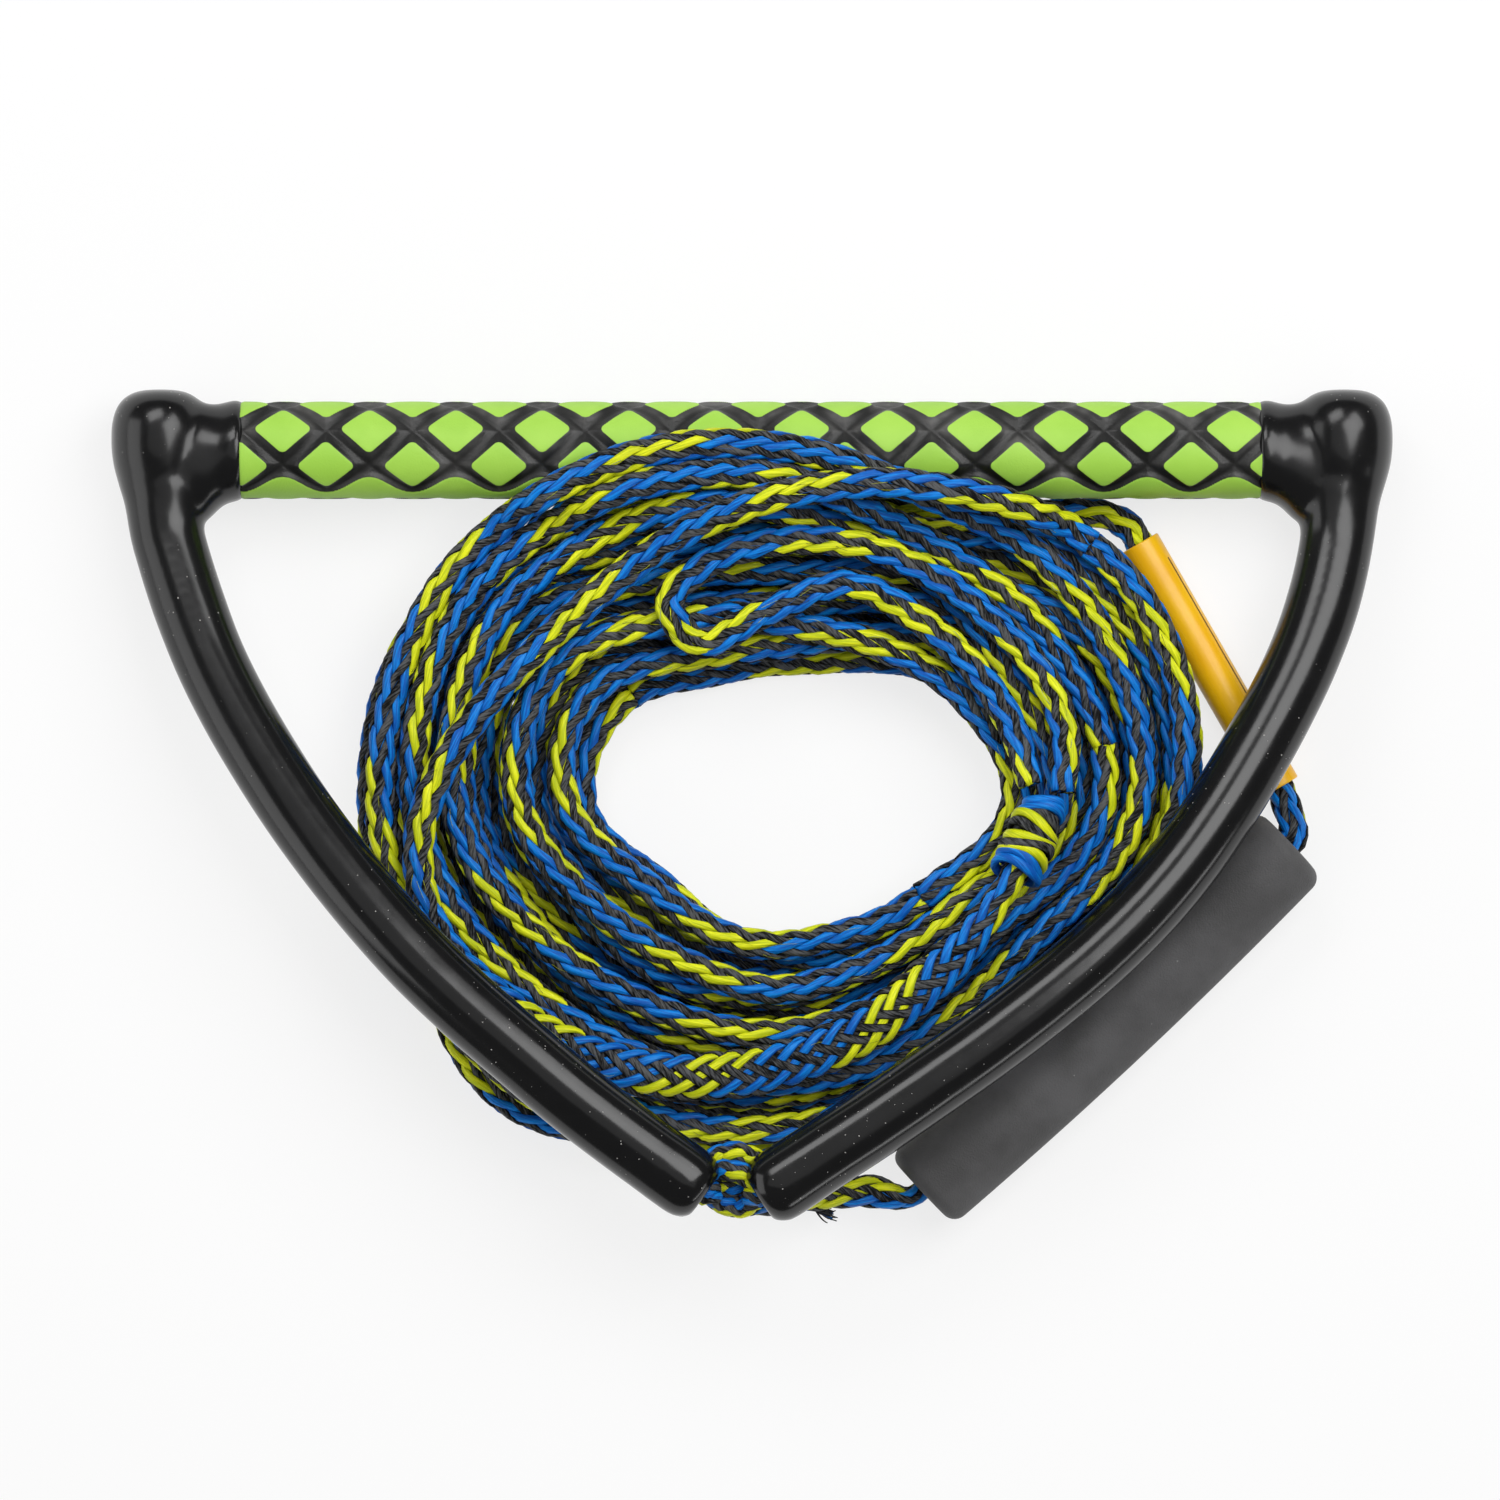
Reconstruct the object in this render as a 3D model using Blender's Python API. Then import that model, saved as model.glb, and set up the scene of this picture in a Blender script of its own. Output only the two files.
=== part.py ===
import math

import bmesh
import bpy
import numpy as np
from mathutils import Matrix, Vector

for old in list(bpy.data.objects):
    bpy.data.objects.remove(old, do_unlink=True)

# Driving dimensions in millimetres, X along the bar, Y from the tips to the bar, Z up.
MM = 0.001
BAR_Y = 104.6
BAR_Z = 16.1
BAR_RADIUS = 9.5
BAR_WALL = 1.5
BAR_HALF = 186.0
LEFT_BOOT_X = -174.3
RIGHT_BOOT_X = 174.6
CROSS_HOLE_RADIUS = 4.7
PLUG_LENGTH = 5.5
GRIP_START = -152.1
GRIP_END = 151.8
GRIP_RADIUS = 14.5
GRIP_CHANNEL = 0.8
GRIP_BORE = 9.95
PAD_PITCH = 25.66
PAD_ROWS = 8
PAD_SHARE = 0.66
PAD_FIRST_X = -139.1
PAD_FIRST_ANGLE = -24.7
COLLAR_RADIUS = 14.4
COLLAR_GAP = 0.3
BULB_RADIUS = 16.1
LEG_RADIUS = 10.7
LEG_RISE = 36.0
LEG_BORE = 4.9
LEG_ROPE_RADIUS = 4.0
TIP_Y = -116.0
KNOT_CENTRE = (-5.6, -112.7, 45.5)
ROPE_RADIUS = 4.5
LINE_RADIUS = 4.4
ROPE_FLATNESS = 0.72
LAYER_PITCH = 6.9
COIL_CENTRE = (10.0, 0.0)
COIL_TURNS = 4.25
COIL_LAYERS = 4
COIL_POINTS = 24
COIL_START = 55.0
FLOAT_RADIUS = 14.0
FLOAT_UPPER = (160.6, -12.6)
FLOAT_LOWER = (50.6, -116.0)
FLOAT_BORE = 5.1
GUARD_RADIUS = 6.2
GUARD_BORE = 5.1
GUARD_UPPER = (115.9, 77.2)
GUARD_LOWER = (157.9, 4.3)
GUARD_Z = 6.3
THROAT_LIFT = 5.4
WHIP_TURNS = 5
WHIP_RADIUS = 1.9
WHIP_PITCH = 4.8

LEFT_LEG_ROUTE = [
    (-173.7, 79.3), (-171.6, 71.9), (-166.6, 57.0), (-160.6, 42.1), (-153.0, 27.2), (-144.2, 12.4),
    (-134.4, -2.5), (-123.4, -17.4), (-111.2, -32.3), (-97.6, -47.2), (-84.4, -59.7), (-68.9, -73.1),
    (-51.5, -87.7), (-33.8, -101.1), (-21.0, -110.3), (-15.0, -114.6),
]
RIGHT_LEG_ROUTE = [
    (174.3, 79.3), (173.0, 71.9), (169.1, 57.0), (163.4, 42.1), (156.1, 27.2), (147.5, 11.8),
    (138.3, -3.1), (127.6, -18.0), (116.3, -31.1), (102.9, -44.2), (87.0, -57.6), (69.5, -71.0),
    (53.1, -82.6), (35.3, -94.8), (21.6, -103.7), (10.3, -111.2), (3.6, -115.7),
]
# Distance of the coil's outer and inner turns from its centre, each 30 degrees from +X. The top
# layer is spread over the bar, the upper layers lean over the sleeve and the first loop bulges out.
COIL_OUTER = [117.5, 113.5, 96.4, 86.0, 96.4, 124.0, 125.5, 120.5, 111.6, 102.7, 96.0, 98.2]
COIL_INNER = [67.0, 60.5, 47.5, 41.0, 43.5, 57.0, 59.0, 42.0, 40.5, 41.0, 43.2, 50.3]
COIL_TOP_OUTER = [118.5, 113.5, 108.6, 113.2, 121.7, 129.0, 129.0, 121.0, 111.6, 102.7, 96.0, 98.2]
COIL_TOP_INNER = [67.0, 60.5, 65.3, 69.9, 78.4, 85.7, 79.0, 58.0, 44.0, 43.0, 43.5, 50.3]
SLEEVE_LEAN = 8.0
SLEEVE_LEAN_ANGLE = 28.0
SLEEVE_LEAN_SPREAD = 24.0
TAIL_BULGE = 15.5
TAIL_BULGE_ANGLE = 228.0
TAIL_BULGE_SPREAD = 20.0
TOW_ROUTE = [
    (87.5, 86.6), (73.5, 91.8), (57.5, 95.2), (42.0, 96.6), (26.3, 95.4), (5.5, 90.6), (-15.3, 82.0),
    (-39.1, 66.8), (-63.0, 46.0), (-80.8, 26.6), (-92.7, 7.9), (-98.7, -11.5), (-97.0, -29.3),
    (-89.4, -45.2), (-76.8, -59.3), (-58.5, -71.5), (-33.2, -80.0), (-3.4, -80.5), (29.3, -69.8),
    (56.1, -49.6), (72.5, -29.9),
]
THROAT_START = (78.6, -20.2)
THROAT_END = (87.0, -0.2)
EYE_ROUTE = [
    (92.2, 2.9), (93.2, 18.3), (86.9, 36.2), (71.6, 53.9), (51.7, 68.4), (29.3, 76.6), (5.5, 76.8),
    (-13.0, 70.8), (-24.4, 59.4), (-17.3, 47.6), (5.5, 56.9), (29.3, 64.4), (49.2, 54.4), (65.5, 40.0),
    (77.0, 22.6), (82.6, 5.0),
]
LEAD_ROUTE = [
    (-0.2, -118.2, 39.2), (6.0, -119.4, 33.0), (16.0, -119.8, 25.0), (28.0, -119.0, 18.0),
    (38.0, -120.2, 14.6),
]
BEND_ROUTE = [(163.6, -8.6, 13.0), (163.2, -4.0, 10.6), (160.6, 0.2, 7.8)]
ENTRY_ROUTE = [(109.8, 85.2, 5.4), (104.6, 88.0, 4.6), (97.0, 88.4, 3.6), (86.0, 86.4, 3.2)]

PARTS = bpy.data.collections.new("tow_handle")
CUTTERS = bpy.data.collections.new("cutters")
bpy.context.scene.collection.children.link(PARTS)
bpy.context.scene.collection.children.link(CUTTERS)


def material(name, colour, rough, metal=0.0):
    mat = bpy.data.materials.new(name)
    mat.use_nodes = True
    shader = mat.node_tree.nodes["Principled BSDF"]
    shader.inputs["Base Color"].default_value = (*colour, 1.0)
    shader.inputs["Roughness"].default_value = rough
    shader.inputs["Metallic"].default_value = metal
    return mat


ALUMINIUM = material("aluminium", (0.72, 0.73, 0.75), 0.35, 1.0)
PLUG = material("plug_plastic", (0.05, 0.05, 0.05), 0.5)
FOAM_GREEN = material("grip_foam", (0.32, 0.70, 0.08), 0.6)
DIP = material("dipped_vinyl", (0.012, 0.012, 0.014), 0.2)
ROPE = material("braided_rope", (0.02, 0.16, 0.52), 0.6)
FLOAT_FOAM = material("float_foam", (0.045, 0.044, 0.043), 0.75)
GUARD_PLASTIC = material("guard_plastic", (0.90, 0.44, 0.01), 0.35)


def add_object(name, mesh, mat, collection=PARTS):
    ob = bpy.data.objects.new(name, mesh)
    collection.objects.link(ob)
    if mat is not None:
        mesh.materials.clear()
        mesh.materials.append(mat)
    if collection is CUTTERS:
        ob.hide_render = True
        ob.display_type = "WIRE"
    return ob


def mesh_from_bm(name, bm):
    bmesh.ops.remove_doubles(bm, verts=bm.verts, dist=1e-6)
    bmesh.ops.recalc_face_normals(bm, faces=bm.faces)
    mesh = bpy.data.meshes.new(name)
    bm.to_mesh(mesh)
    bm.free()
    return mesh


def smooth_route(points, count):
    """Points at even steps along a smooth curve through the given ones."""
    p = np.array(points, float)
    gap = np.linalg.norm(np.diff(p, axis=0), axis=1)
    at = np.concatenate([[0.0], np.cumsum(gap)])
    slope = np.gradient(p, at, axis=0)
    fine = []
    for i in range(len(p) - 1):
        h = at[i + 1] - at[i]
        for u in np.linspace(0.0, 1.0, 24, endpoint=False):
            a = 2 * u**3 - 3 * u**2 + 1
            b = u**3 - 2 * u**2 + u
            c = -2 * u**3 + 3 * u**2
            d = u**3 - u**2
            fine.append(a * p[i] + b * h * slope[i] + c * p[i + 1] + d * h * slope[i + 1])
    fine.append(p[-1])
    fine = np.array(fine)
    run = np.concatenate([[0.0], np.cumsum(np.linalg.norm(np.diff(fine, axis=0), axis=1))])
    even = np.linspace(0.0, run[-1], count)
    return np.stack([np.interp(even, run, fine[:, k]) for k in range(fine.shape[1])], axis=1)


def loft(name, rings, caps=True):
    """One closed skin through rings of equal point count, given in millimetres."""
    bm = bmesh.new()
    made = [[bm.verts.new(Vector(p) * MM) for p in ring] for ring in rings]
    count = len(made[0])
    for a, b in zip(made, made[1:]):
        for i in range(count):
            j = (i + 1) % count
            bm.faces.new((a[i], a[j], b[j], b[i]))
    if caps:
        bm.faces.new(made[0])
        bm.faces.new(list(reversed(made[-1])))
    return mesh_from_bm(name, bm)


def frame_at(line, i):
    """Two directions square to a line, the second as near up as it can be."""
    a = line[max(i - 1, 0)]
    b = line[min(i + 1, len(line) - 1)]
    along = Vector(b - a).normalized()
    side = along.cross(Vector((0.0, 0.0, 1.0))).normalized()
    return side, side.cross(along).normalized()


def tube_rings(line, radii, sides):
    rings = []
    for i, centre in enumerate(line):
        side, up = frame_at(line, i)
        ring = []
        for k in range(sides):
            turn = 2 * math.pi * (k + 0.5) / sides
            ring.append(Vector(centre) + float(radii[i]) * (math.cos(turn) * side + math.sin(turn) * up))
        rings.append(ring)
    return rings


def cylinder(name, start, end, radius, sides, mat=None, collection=PARTS):
    line = np.array([start, end], float)
    return add_object(name, loft(name, tube_rings(line, [radius, radius], sides)), mat, collection)


def boolean(target, cutter, operation):
    mod = target.modifiers.new(operation.lower(), "BOOLEAN")
    mod.operation = operation
    mod.solver = "EXACT"
    mod.object = cutter
    depsgraph = bpy.context.evaluated_depsgraph_get()
    mesh = bpy.data.meshes.new_from_object(target.evaluated_get(depsgraph))
    target.modifiers.clear()
    old_mesh = target.data
    target.data = mesh
    bpy.data.meshes.remove(old_mesh)
    clean = bmesh.new()
    clean.from_mesh(mesh)
    bmesh.ops.remove_doubles(clean, verts=clean.verts, dist=2e-6)
    bmesh.ops.dissolve_degenerate(clean, edges=clean.edges, dist=2e-6)
    clean.to_mesh(mesh)
    clean.free()


def cut(target, *cutters):
    for cutter in cutters:
        boolean(target, cutter, "DIFFERENCE")


def cord_tube(name, points, radii, flat, sides, mat, collection=PARTS):
    """A tube along points, pressed flat in height by the given share."""
    line = np.array(points, float)
    curve = bpy.data.curves.new(name + "_curve", "CURVE")
    curve.dimensions = "3D"
    curve.twist_mode = "Z_UP"
    curve.bevel_depth = MM
    curve.bevel_resolution = (sides - 4) // 2
    curve.use_fill_caps = True
    spline = curve.splines.new("POLY")
    spline.points.add(len(line) - 1)
    for point, place, radius in zip(spline.points, line, radii):
        point.co = (place[0] * MM, place[1] * MM, place[2] * MM / flat, 1.0)
        point.radius = radius
    carrier = bpy.data.objects.new(name + "_carrier", curve)
    CUTTERS.objects.link(carrier)
    mesh = bpy.data.meshes.new_from_object(carrier)
    bpy.data.objects.remove(carrier, do_unlink=True)
    bpy.data.curves.remove(curve)
    bm = bmesh.new()
    bm.from_mesh(mesh)
    bpy.data.meshes.remove(mesh)
    bmesh.ops.scale(bm, vec=(1.0, 1.0, flat), verts=bm.verts)
    bmesh.ops.remove_doubles(bm, verts=bm.verts, dist=1e-6)
    bmesh.ops.recalc_face_normals(bm, faces=bm.faces)
    mesh = bpy.data.meshes.new(name)
    bm.to_mesh(mesh)
    bm.free()
    return add_object(name, mesh, mat, collection)


def leg_height(y):
    share = max(0.0, min(1.0, (BAR_Y - y) / (BAR_Y - TIP_Y)))
    return BAR_Z + LEG_RISE * math.sin(math.pi / 2 * share) ** 1.25


def leg_line(boot_x, route, count):
    plan = smooth_route([(boot_x, BAR_Y - 12.0)] + route, count)
    return np.array([(x, y, leg_height(y)) for x, y in plan])


def build_bar():
    bar = cylinder(
        "bar_tube", (-BAR_HALF, BAR_Y, BAR_Z), (BAR_HALF, BAR_Y, BAR_Z), BAR_RADIUS, 24, ALUMINIUM
    )
    inside = BAR_RADIUS - BAR_WALL
    bore = cylinder(
        "bar_bore", (-BAR_HALF - 5, BAR_Y, BAR_Z), (BAR_HALF + 5, BAR_Y, BAR_Z), inside, 24, None, CUTTERS
    )
    cut(bar, bore)
    for side, x in (("left", LEFT_BOOT_X), ("right", RIGHT_BOOT_X)):
        hole = cylinder(
            side + "_cross_hole", (x, BAR_Y - 20, BAR_Z), (x, BAR_Y + 20, BAR_Z), CROSS_HOLE_RADIUS, 12,
            None, CUTTERS,
        )
        cut(bar, hole)
        sign = math.copysign(1.0, x)
        cylinder(
            side + "_bar_plug", (sign * (BAR_HALF - PLUG_LENGTH), BAR_Y, BAR_Z),
            (sign * BAR_HALF, BAR_Y, BAR_Z), inside - 0.3, 16, PLUG,
        )


def build_grip():
    """Foam sleeve: each rhombic cell has a raised pad, and the cells meet in the channels."""
    bm = bmesh.new()
    half_turn = 360.0 / PAD_ROWS

    def place(x, angle, radius):
        a = math.radians(angle)
        return Vector((x, BAR_Y - radius * math.sin(a), BAR_Z + radius * math.cos(a))) * MM

    low = GRIP_RADIUS - GRIP_CHANNEL
    for row in range(PAD_ROWS):
        middle = PAD_FIRST_ANGLE + half_turn * row
        first = PAD_FIRST_X + (PAD_PITCH / 2 if row % 2 else 0.0) - 2 * PAD_PITCH
        for column in range(17):
            x = first + column * PAD_PITCH
            if x + PAD_PITCH / 2 < GRIP_START or x - PAD_PITCH / 2 > GRIP_END:
                continue
            corners = [(1, 0), (0.5, 0.5), (0, 1), (-0.5, 0.5), (-1, 0), (-0.5, -0.5), (0, -1), (0.5, -0.5)]
            edge = []
            pad = []
            for u, v in corners:
                edge.append(bm.verts.new(place(x + u * PAD_PITCH / 2, middle + v * half_turn, low)))
                u, v = u * PAD_SHARE, v * PAD_SHARE
                pad.append(bm.verts.new(place(x + u * PAD_PITCH / 2, middle + v * half_turn, GRIP_RADIUS)))
            top = bm.verts.new(place(x, middle, GRIP_RADIUS))
            for i in range(8):
                j = (i + 1) % 8
                bm.faces.new((pad[i], pad[j], top))
                bm.faces.new((edge[i], edge[j], pad[j]))
                bm.faces.new((edge[i], pad[j], pad[i]))
    bmesh.ops.remove_doubles(bm, verts=bm.verts, dist=1e-5)
    for x, way in ((GRIP_START, -1.0), (GRIP_END, 1.0)):
        bmesh.ops.bisect_plane(
            bm, geom=bm.verts[:] + bm.edges[:] + bm.faces[:], dist=1e-7, plane_co=(x * MM, 0, 0),
            plane_no=(way, 0, 0), clear_outer=True,
        )
    bmesh.ops.remove_doubles(bm, verts=bm.verts, dist=2e-5)
    for x in (GRIP_START, GRIP_END):
        rim = [e for e in bm.edges if e.is_boundary and abs(e.verts[0].co.x - x * MM) < 1e-6]
        bmesh.ops.holes_fill(bm, edges=rim, sides=0)
    bmesh.ops.triangulate(bm, faces=[f for f in bm.faces if len(f.verts) > 4])
    grip = add_object("grip_sleeve", mesh_from_bm("grip_sleeve", bm), FOAM_GREEN)
    bore = cylinder(
        "grip_bore", (GRIP_START - 5, BAR_Y, BAR_Z), (GRIP_END + 5, BAR_Y, BAR_Z), GRIP_BORE, 20, None, CUTTERS
    )
    cut(grip, bore)


def build_leg(side, boot_x, route):
    sign = math.copysign(1.0, boot_x)
    line = leg_line(boot_x, route, 26)
    # The boot's bulb above the leg: offset from the bar's axis along Y, and radius.
    bulb = [(17.8, 5.2), (16.6, 9.6), (14.0, 13.4), (9.4, 15.6), (3.2, BULB_RADIUS), (-4.2, 15.4), (-9.6, 14.0)]
    centres = [(boot_x, BAR_Y + y, BAR_Z) for y, _ in bulb] + [tuple(p) for p in line]
    radii = [r for _, r in bulb]
    run = np.concatenate([[0.0], np.cumsum(np.linalg.norm(np.diff(line, axis=0), axis=1))])
    for at in run:
        radii.append(LEG_RADIUS + 2.6 * max(0.0, 1.0 - at / 17.0) ** 2)
    tip = len(centres) - 1
    end = Vector(line[-1])
    along = Vector(line[-1] - line[-2]).normalized()
    centres = centres[:tip] + [tuple(end - along * 4.6), tuple(end - along * 2.0), tuple(end - along * 0.5)]
    centres.append(tuple(end))
    radii = radii[:tip] + [LEG_RADIUS, 9.9, 8.3, 6.8]
    cover = add_object(
        side + "_leg_cover", loft(side + "_leg_cover", tube_rings(np.array(centres), radii, 14)), DIP
    )
    # Collar on the bar with a web that runs into the leg: reach in X, top, bottom and height of each ring.
    face = (GRIP_START - COLLAR_GAP) if sign < 0 else (GRIP_END + COLLAR_GAP)
    shape = [(0.0, 14.3, 14.3, 14.4), (2.6, 14.4, 15.2, 14.4), (6.2, 14.9, 18.4, 14.5), (10.6, 15.6, 21.2, 14.6),
             (16.0, 15.0, 20.0, 13.6), (21.0, 12.0, 14.0, 11.5)]
    rings = []
    for reach, top, bottom, high in shape:
        ring = []
        for k in range(24):
            turn = 2 * math.pi * k / 24
            up = math.cos(turn)
            ring.append((face + sign * reach, BAR_Y + up * (top if up > 0 else bottom),
                         BAR_Z + math.sin(turn) * high))
        rings.append(ring)
    collar = add_object(side + "_collar", loft(side + "_collar", rings), None, CUTTERS)
    boolean(cover, collar, "UNION")
    socket = cylinder(
        side + "_socket", (face - sign * 5, BAR_Y, BAR_Z), (sign * (BAR_HALF + 0.3), BAR_Y, BAR_Z),
        BAR_RADIUS + 0.4, 24, None, CUTTERS,
    )
    inner = [(boot_x, BAR_Y + 10.4, BAR_Z), (boot_x, BAR_Y - 6.0, BAR_Z)] + [tuple(p) for p in line]
    inner.append(tuple(end + along * 6))
    bore_line = np.array(inner)
    bore = add_object(
        side + "_leg_bore", loft(side + "_leg_bore", tube_rings(bore_line, [LEG_BORE] * len(inner), 8)), None, CUTTERS
    )
    pocket = ellipsoid(side + "_knot_pocket", (boot_x, BAR_Y + 12.2, BAR_Z), (6.8, 3.3, 6.8), None, CUTTERS)
    cut(cover, socket, bore, pocket)
    ellipsoid(side + "_stopper_knot", (boot_x, BAR_Y + 12.7, BAR_Z), (6.2, 2.4, 6.2), ROPE)
    rope = [(boot_x, BAR_Y + 9.8, BAR_Z), (boot_x, BAR_Y, BAR_Z), (boot_x, BAR_Y - 6.0, BAR_Z)]
    rope += [tuple(p) for p in line]
    rope.append(tuple(end + along * 2.2))
    rope_line = np.array(rope)
    add_object(
        side + "_leg_rope",
        loft(side + "_leg_rope", tube_rings(rope_line, [LEG_ROPE_RADIUS] * len(rope), 8)), ROPE,
    )


def ellipsoid(name, centre, axes, mat, collection=PARTS):
    bm = bmesh.new()
    bmesh.ops.create_uvsphere(bm, u_segments=14, v_segments=8, radius=1.0)
    bmesh.ops.rotate(bm, verts=bm.verts, matrix=Matrix.Rotation(math.pi / 2, 3, "X"))
    bmesh.ops.scale(bm, vec=[a * MM for a in axes], verts=bm.verts)
    bmesh.ops.translate(bm, vec=[c * MM for c in centre], verts=bm.verts)
    return add_object(name, mesh_from_bm(name, bm), mat, collection)


def build_knot():
    """The knot as its turns: a short winding about an axis along Y."""
    points = []
    turns = 2.4
    for u in np.linspace(0.0, 1.0, 34):
        turn = 2 * math.pi * turns * u
        points.append((
            KNOT_CENTRE[0] + 3.7 * math.cos(turn), KNOT_CENTRE[1] + (0.5 - u) * turns * 5.6,
            KNOT_CENTRE[2] + 3.7 * math.sin(turn),
        ))
    cord_tube("bridle_knot", points, [2.4] * len(points), 1.0, 6, ROPE)


def coil_radius(table, angle):
    n = len(table)
    at = (angle % 360.0) / (360.0 / n)
    i = int(at)
    u = at - i
    p = [table[(i + k) % n] for k in (-1, 0, 1, 2)]
    a = -0.5 * p[0] + 1.5 * p[1] - 1.5 * p[2] + 0.5 * p[3]
    b = p[0] - 2.5 * p[1] + 2.0 * p[2] - 0.5 * p[3]
    return ((a * u + b) * u + 0.5 * (p[2] - p[0])) * u + p[1]


def ease(u):
    u = max(0.0, min(1.0, u))
    return u * u * (3 - 2 * u)


def bar_hump(y):
    """How far the top strands rise where they cross the grip."""
    return 12.0 * ease((y - 80.0) / 13.0)


def bulge(reach, angle, spread):
    away = (angle + 180.0) % 360.0 - 180.0
    return reach * math.exp(-((away / spread) ** 2))


def coil_points():
    per_layer = 360.0 * COIL_TURNS
    total = per_layer * COIL_LAYERS
    points = []
    for turn in np.arange(0.0, total - 0.01, 360.0 / COIL_POINTS):
        layer = min(int(turn // per_layer), COIL_LAYERS - 1)
        share = (turn - layer * per_layer) / per_layer
        inward = share if layer % 2 == 0 else 1.0 - share
        angle = COIL_START + turn
        level = float(layer)
        for k in range(1, COIL_LAYERS):
            if abs(turn - k * per_layer) < 90.0:
                level = k - 1 + ease((turn - k * per_layer + 90.0) / 180.0)
        top = ease((turn - 3 * per_layer) / 360.0)
        outer = coil_radius(COIL_OUTER, angle) * (1 - top) + coil_radius(COIL_TOP_OUTER, angle) * top
        inner = coil_radius(COIL_INNER, angle) * (1 - top) + coil_radius(COIL_TOP_INNER, angle) * top
        if turn < 360.0:
            outer += bulge(TAIL_BULGE, angle - TAIL_BULGE_ANGLE, TAIL_BULGE_SPREAD)
        if turn > 2 * per_layer + 90.0:
            outer += bulge(SLEEVE_LEAN, angle - SLEEVE_LEAN_ANGLE, SLEEVE_LEAN_SPREAD)
        radius = outer + (inner - outer) * inward
        x = COIL_CENTRE[0] + radius * math.cos(math.radians(angle))
        y = COIL_CENTRE[1] + radius * math.sin(math.radians(angle))
        z = ROPE_FLATNESS * ROPE_RADIUS * math.sin(math.pi / 3) + LAYER_PITCH * level
        if level > 2.0:
            z += bar_hump(y) * ease((level - 2.0))
        points.append((x, y, z))
    return np.array(points)


def least_gap(points, radius, flat, skip):
    """Least distance between strands of one tube, in millimetres, less the tube's own width."""
    at = np.arange(len(points))
    fine = np.linspace(0.0, len(points) - 1.0, (len(points) - 1) * 8 + 1)
    dense = np.stack([np.interp(fine, at, points[:, k]) for k in range(3)], 1)
    scaled = dense / np.array([1.0, 1.0, flat])
    best = 1e9
    for i in range(0, len(scaled) - skip * 8):
        rest = scaled[i + skip * 8:]
        best = min(best, float(np.linalg.norm(rest - scaled[i], axis=1).min()))
    return best - 2 * radius


def build_coil():
    points = coil_points()
    cord_tube("rope_coil", points, [ROPE_RADIUS] * len(points), ROPE_FLATNESS, 6, ROPE)
    gap = least_gap(points, ROPE_RADIUS, ROPE_FLATNESS, 12)
    print("coil: loops", COIL_TURNS * COIL_LAYERS, "least gap mm", round(gap, 2))
    run = np.linalg.norm(np.diff(points, axis=0), axis=1).sum()
    print("coil: length mm", round(float(run)))
    return points


def top_level():
    return ROPE_FLATNESS * ROPE_RADIUS * math.sin(math.pi / 3) + LAYER_PITCH * COIL_LAYERS


def tow_points(coil):
    """The loop on top and the splice, with the tube's radius at each point."""
    start = coil[-1]
    step = coil[-1] - coil[-2]
    step = step / np.linalg.norm(step)
    first = start + step * 0.4
    route = [tuple(first), tuple(first + step * 9.0)]
    level = top_level() + 0.5
    base = start[2] - bar_hump(start[1])
    for i, (x, y) in enumerate(TOW_ROUTE):
        z = base + (level - base) * ease((i + 1) / 4.0) + bar_hump(y + (6.0 if i > 2 else 3.0))
        z += 2.4 * ease((i - 11) / 2.0) + 2.8 * ease((i - 17) / 3.0)
        route.append((x, y, z))
    route.append((*THROAT_START, level + THROAT_LIFT))
    route.append((*THROAT_END, level + THROAT_LIFT))
    points = smooth_route(route, 72)
    radii = []
    for u in np.linspace(0.0, 1.0, len(points)):
        thick = ease((u - 0.55) / 0.06) * (1.0 - ease((u - 0.86) / 0.06))
        radii.append(ROPE_RADIUS * (1.0 + 0.62 * thick) - 0.4 * ease((u - 0.86) / 0.06))
    return points, radii


def eye_points():
    """The eye's two strands and the bight between them, with the tube's radius at each point."""
    eye = []
    for i, (x, y) in enumerate(EYE_ROUTE):
        near = min(i, len(EYE_ROUTE) - 1 - i)
        eye.append((x, y, top_level() + bar_hump(y + 6.0) + 5.0 * (1.0 - ease(near / 2.5)) + 0.3))
    points = smooth_route(eye, 64)
    share = np.linspace(0.0, 1.0, len(points))
    return points, [ROPE_RADIUS * (1.0 - 0.14 * (1.0 - ease(min(u, 1.0 - u) / 0.07))) for u in share]


def whip_points():
    a = Vector((*THROAT_START, top_level() + THROAT_LIFT))
    b = Vector((*THROAT_END, top_level() + THROAT_LIFT))
    along = (b - a).normalized()
    side = along.cross(Vector((0, 0, 1))).normalized()
    up = side.cross(along)
    radius = ROPE_RADIUS + WHIP_RADIUS + 0.2
    middle = (a + b) / 2
    turns = []
    for u in np.linspace(0.0, 1.0, WHIP_TURNS * 14 + 1):
        turn = 2 * math.pi * WHIP_TURNS * u - 0.6
        place = middle + along * ((u - 0.5) * WHIP_TURNS * WHIP_PITCH - 0.4)
        turns.append(tuple(place + radius * (math.cos(turn) * side + math.sin(turn) * up * 0.9)))
    return np.array(turns), along


def build_tow(coil):
    points, radii = tow_points(coil)
    cord_tube("tow_line", points, radii, ROPE_FLATNESS, 8, ROPE)
    line, along = whip_points()
    add_object("throat_whipping", loft("throat_whipping", whip_rings(line, along)), ROPE)
    points, radii = eye_points()
    cord_tube("tow_eye", points, radii, ROPE_FLATNESS, 8, ROPE)


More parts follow.
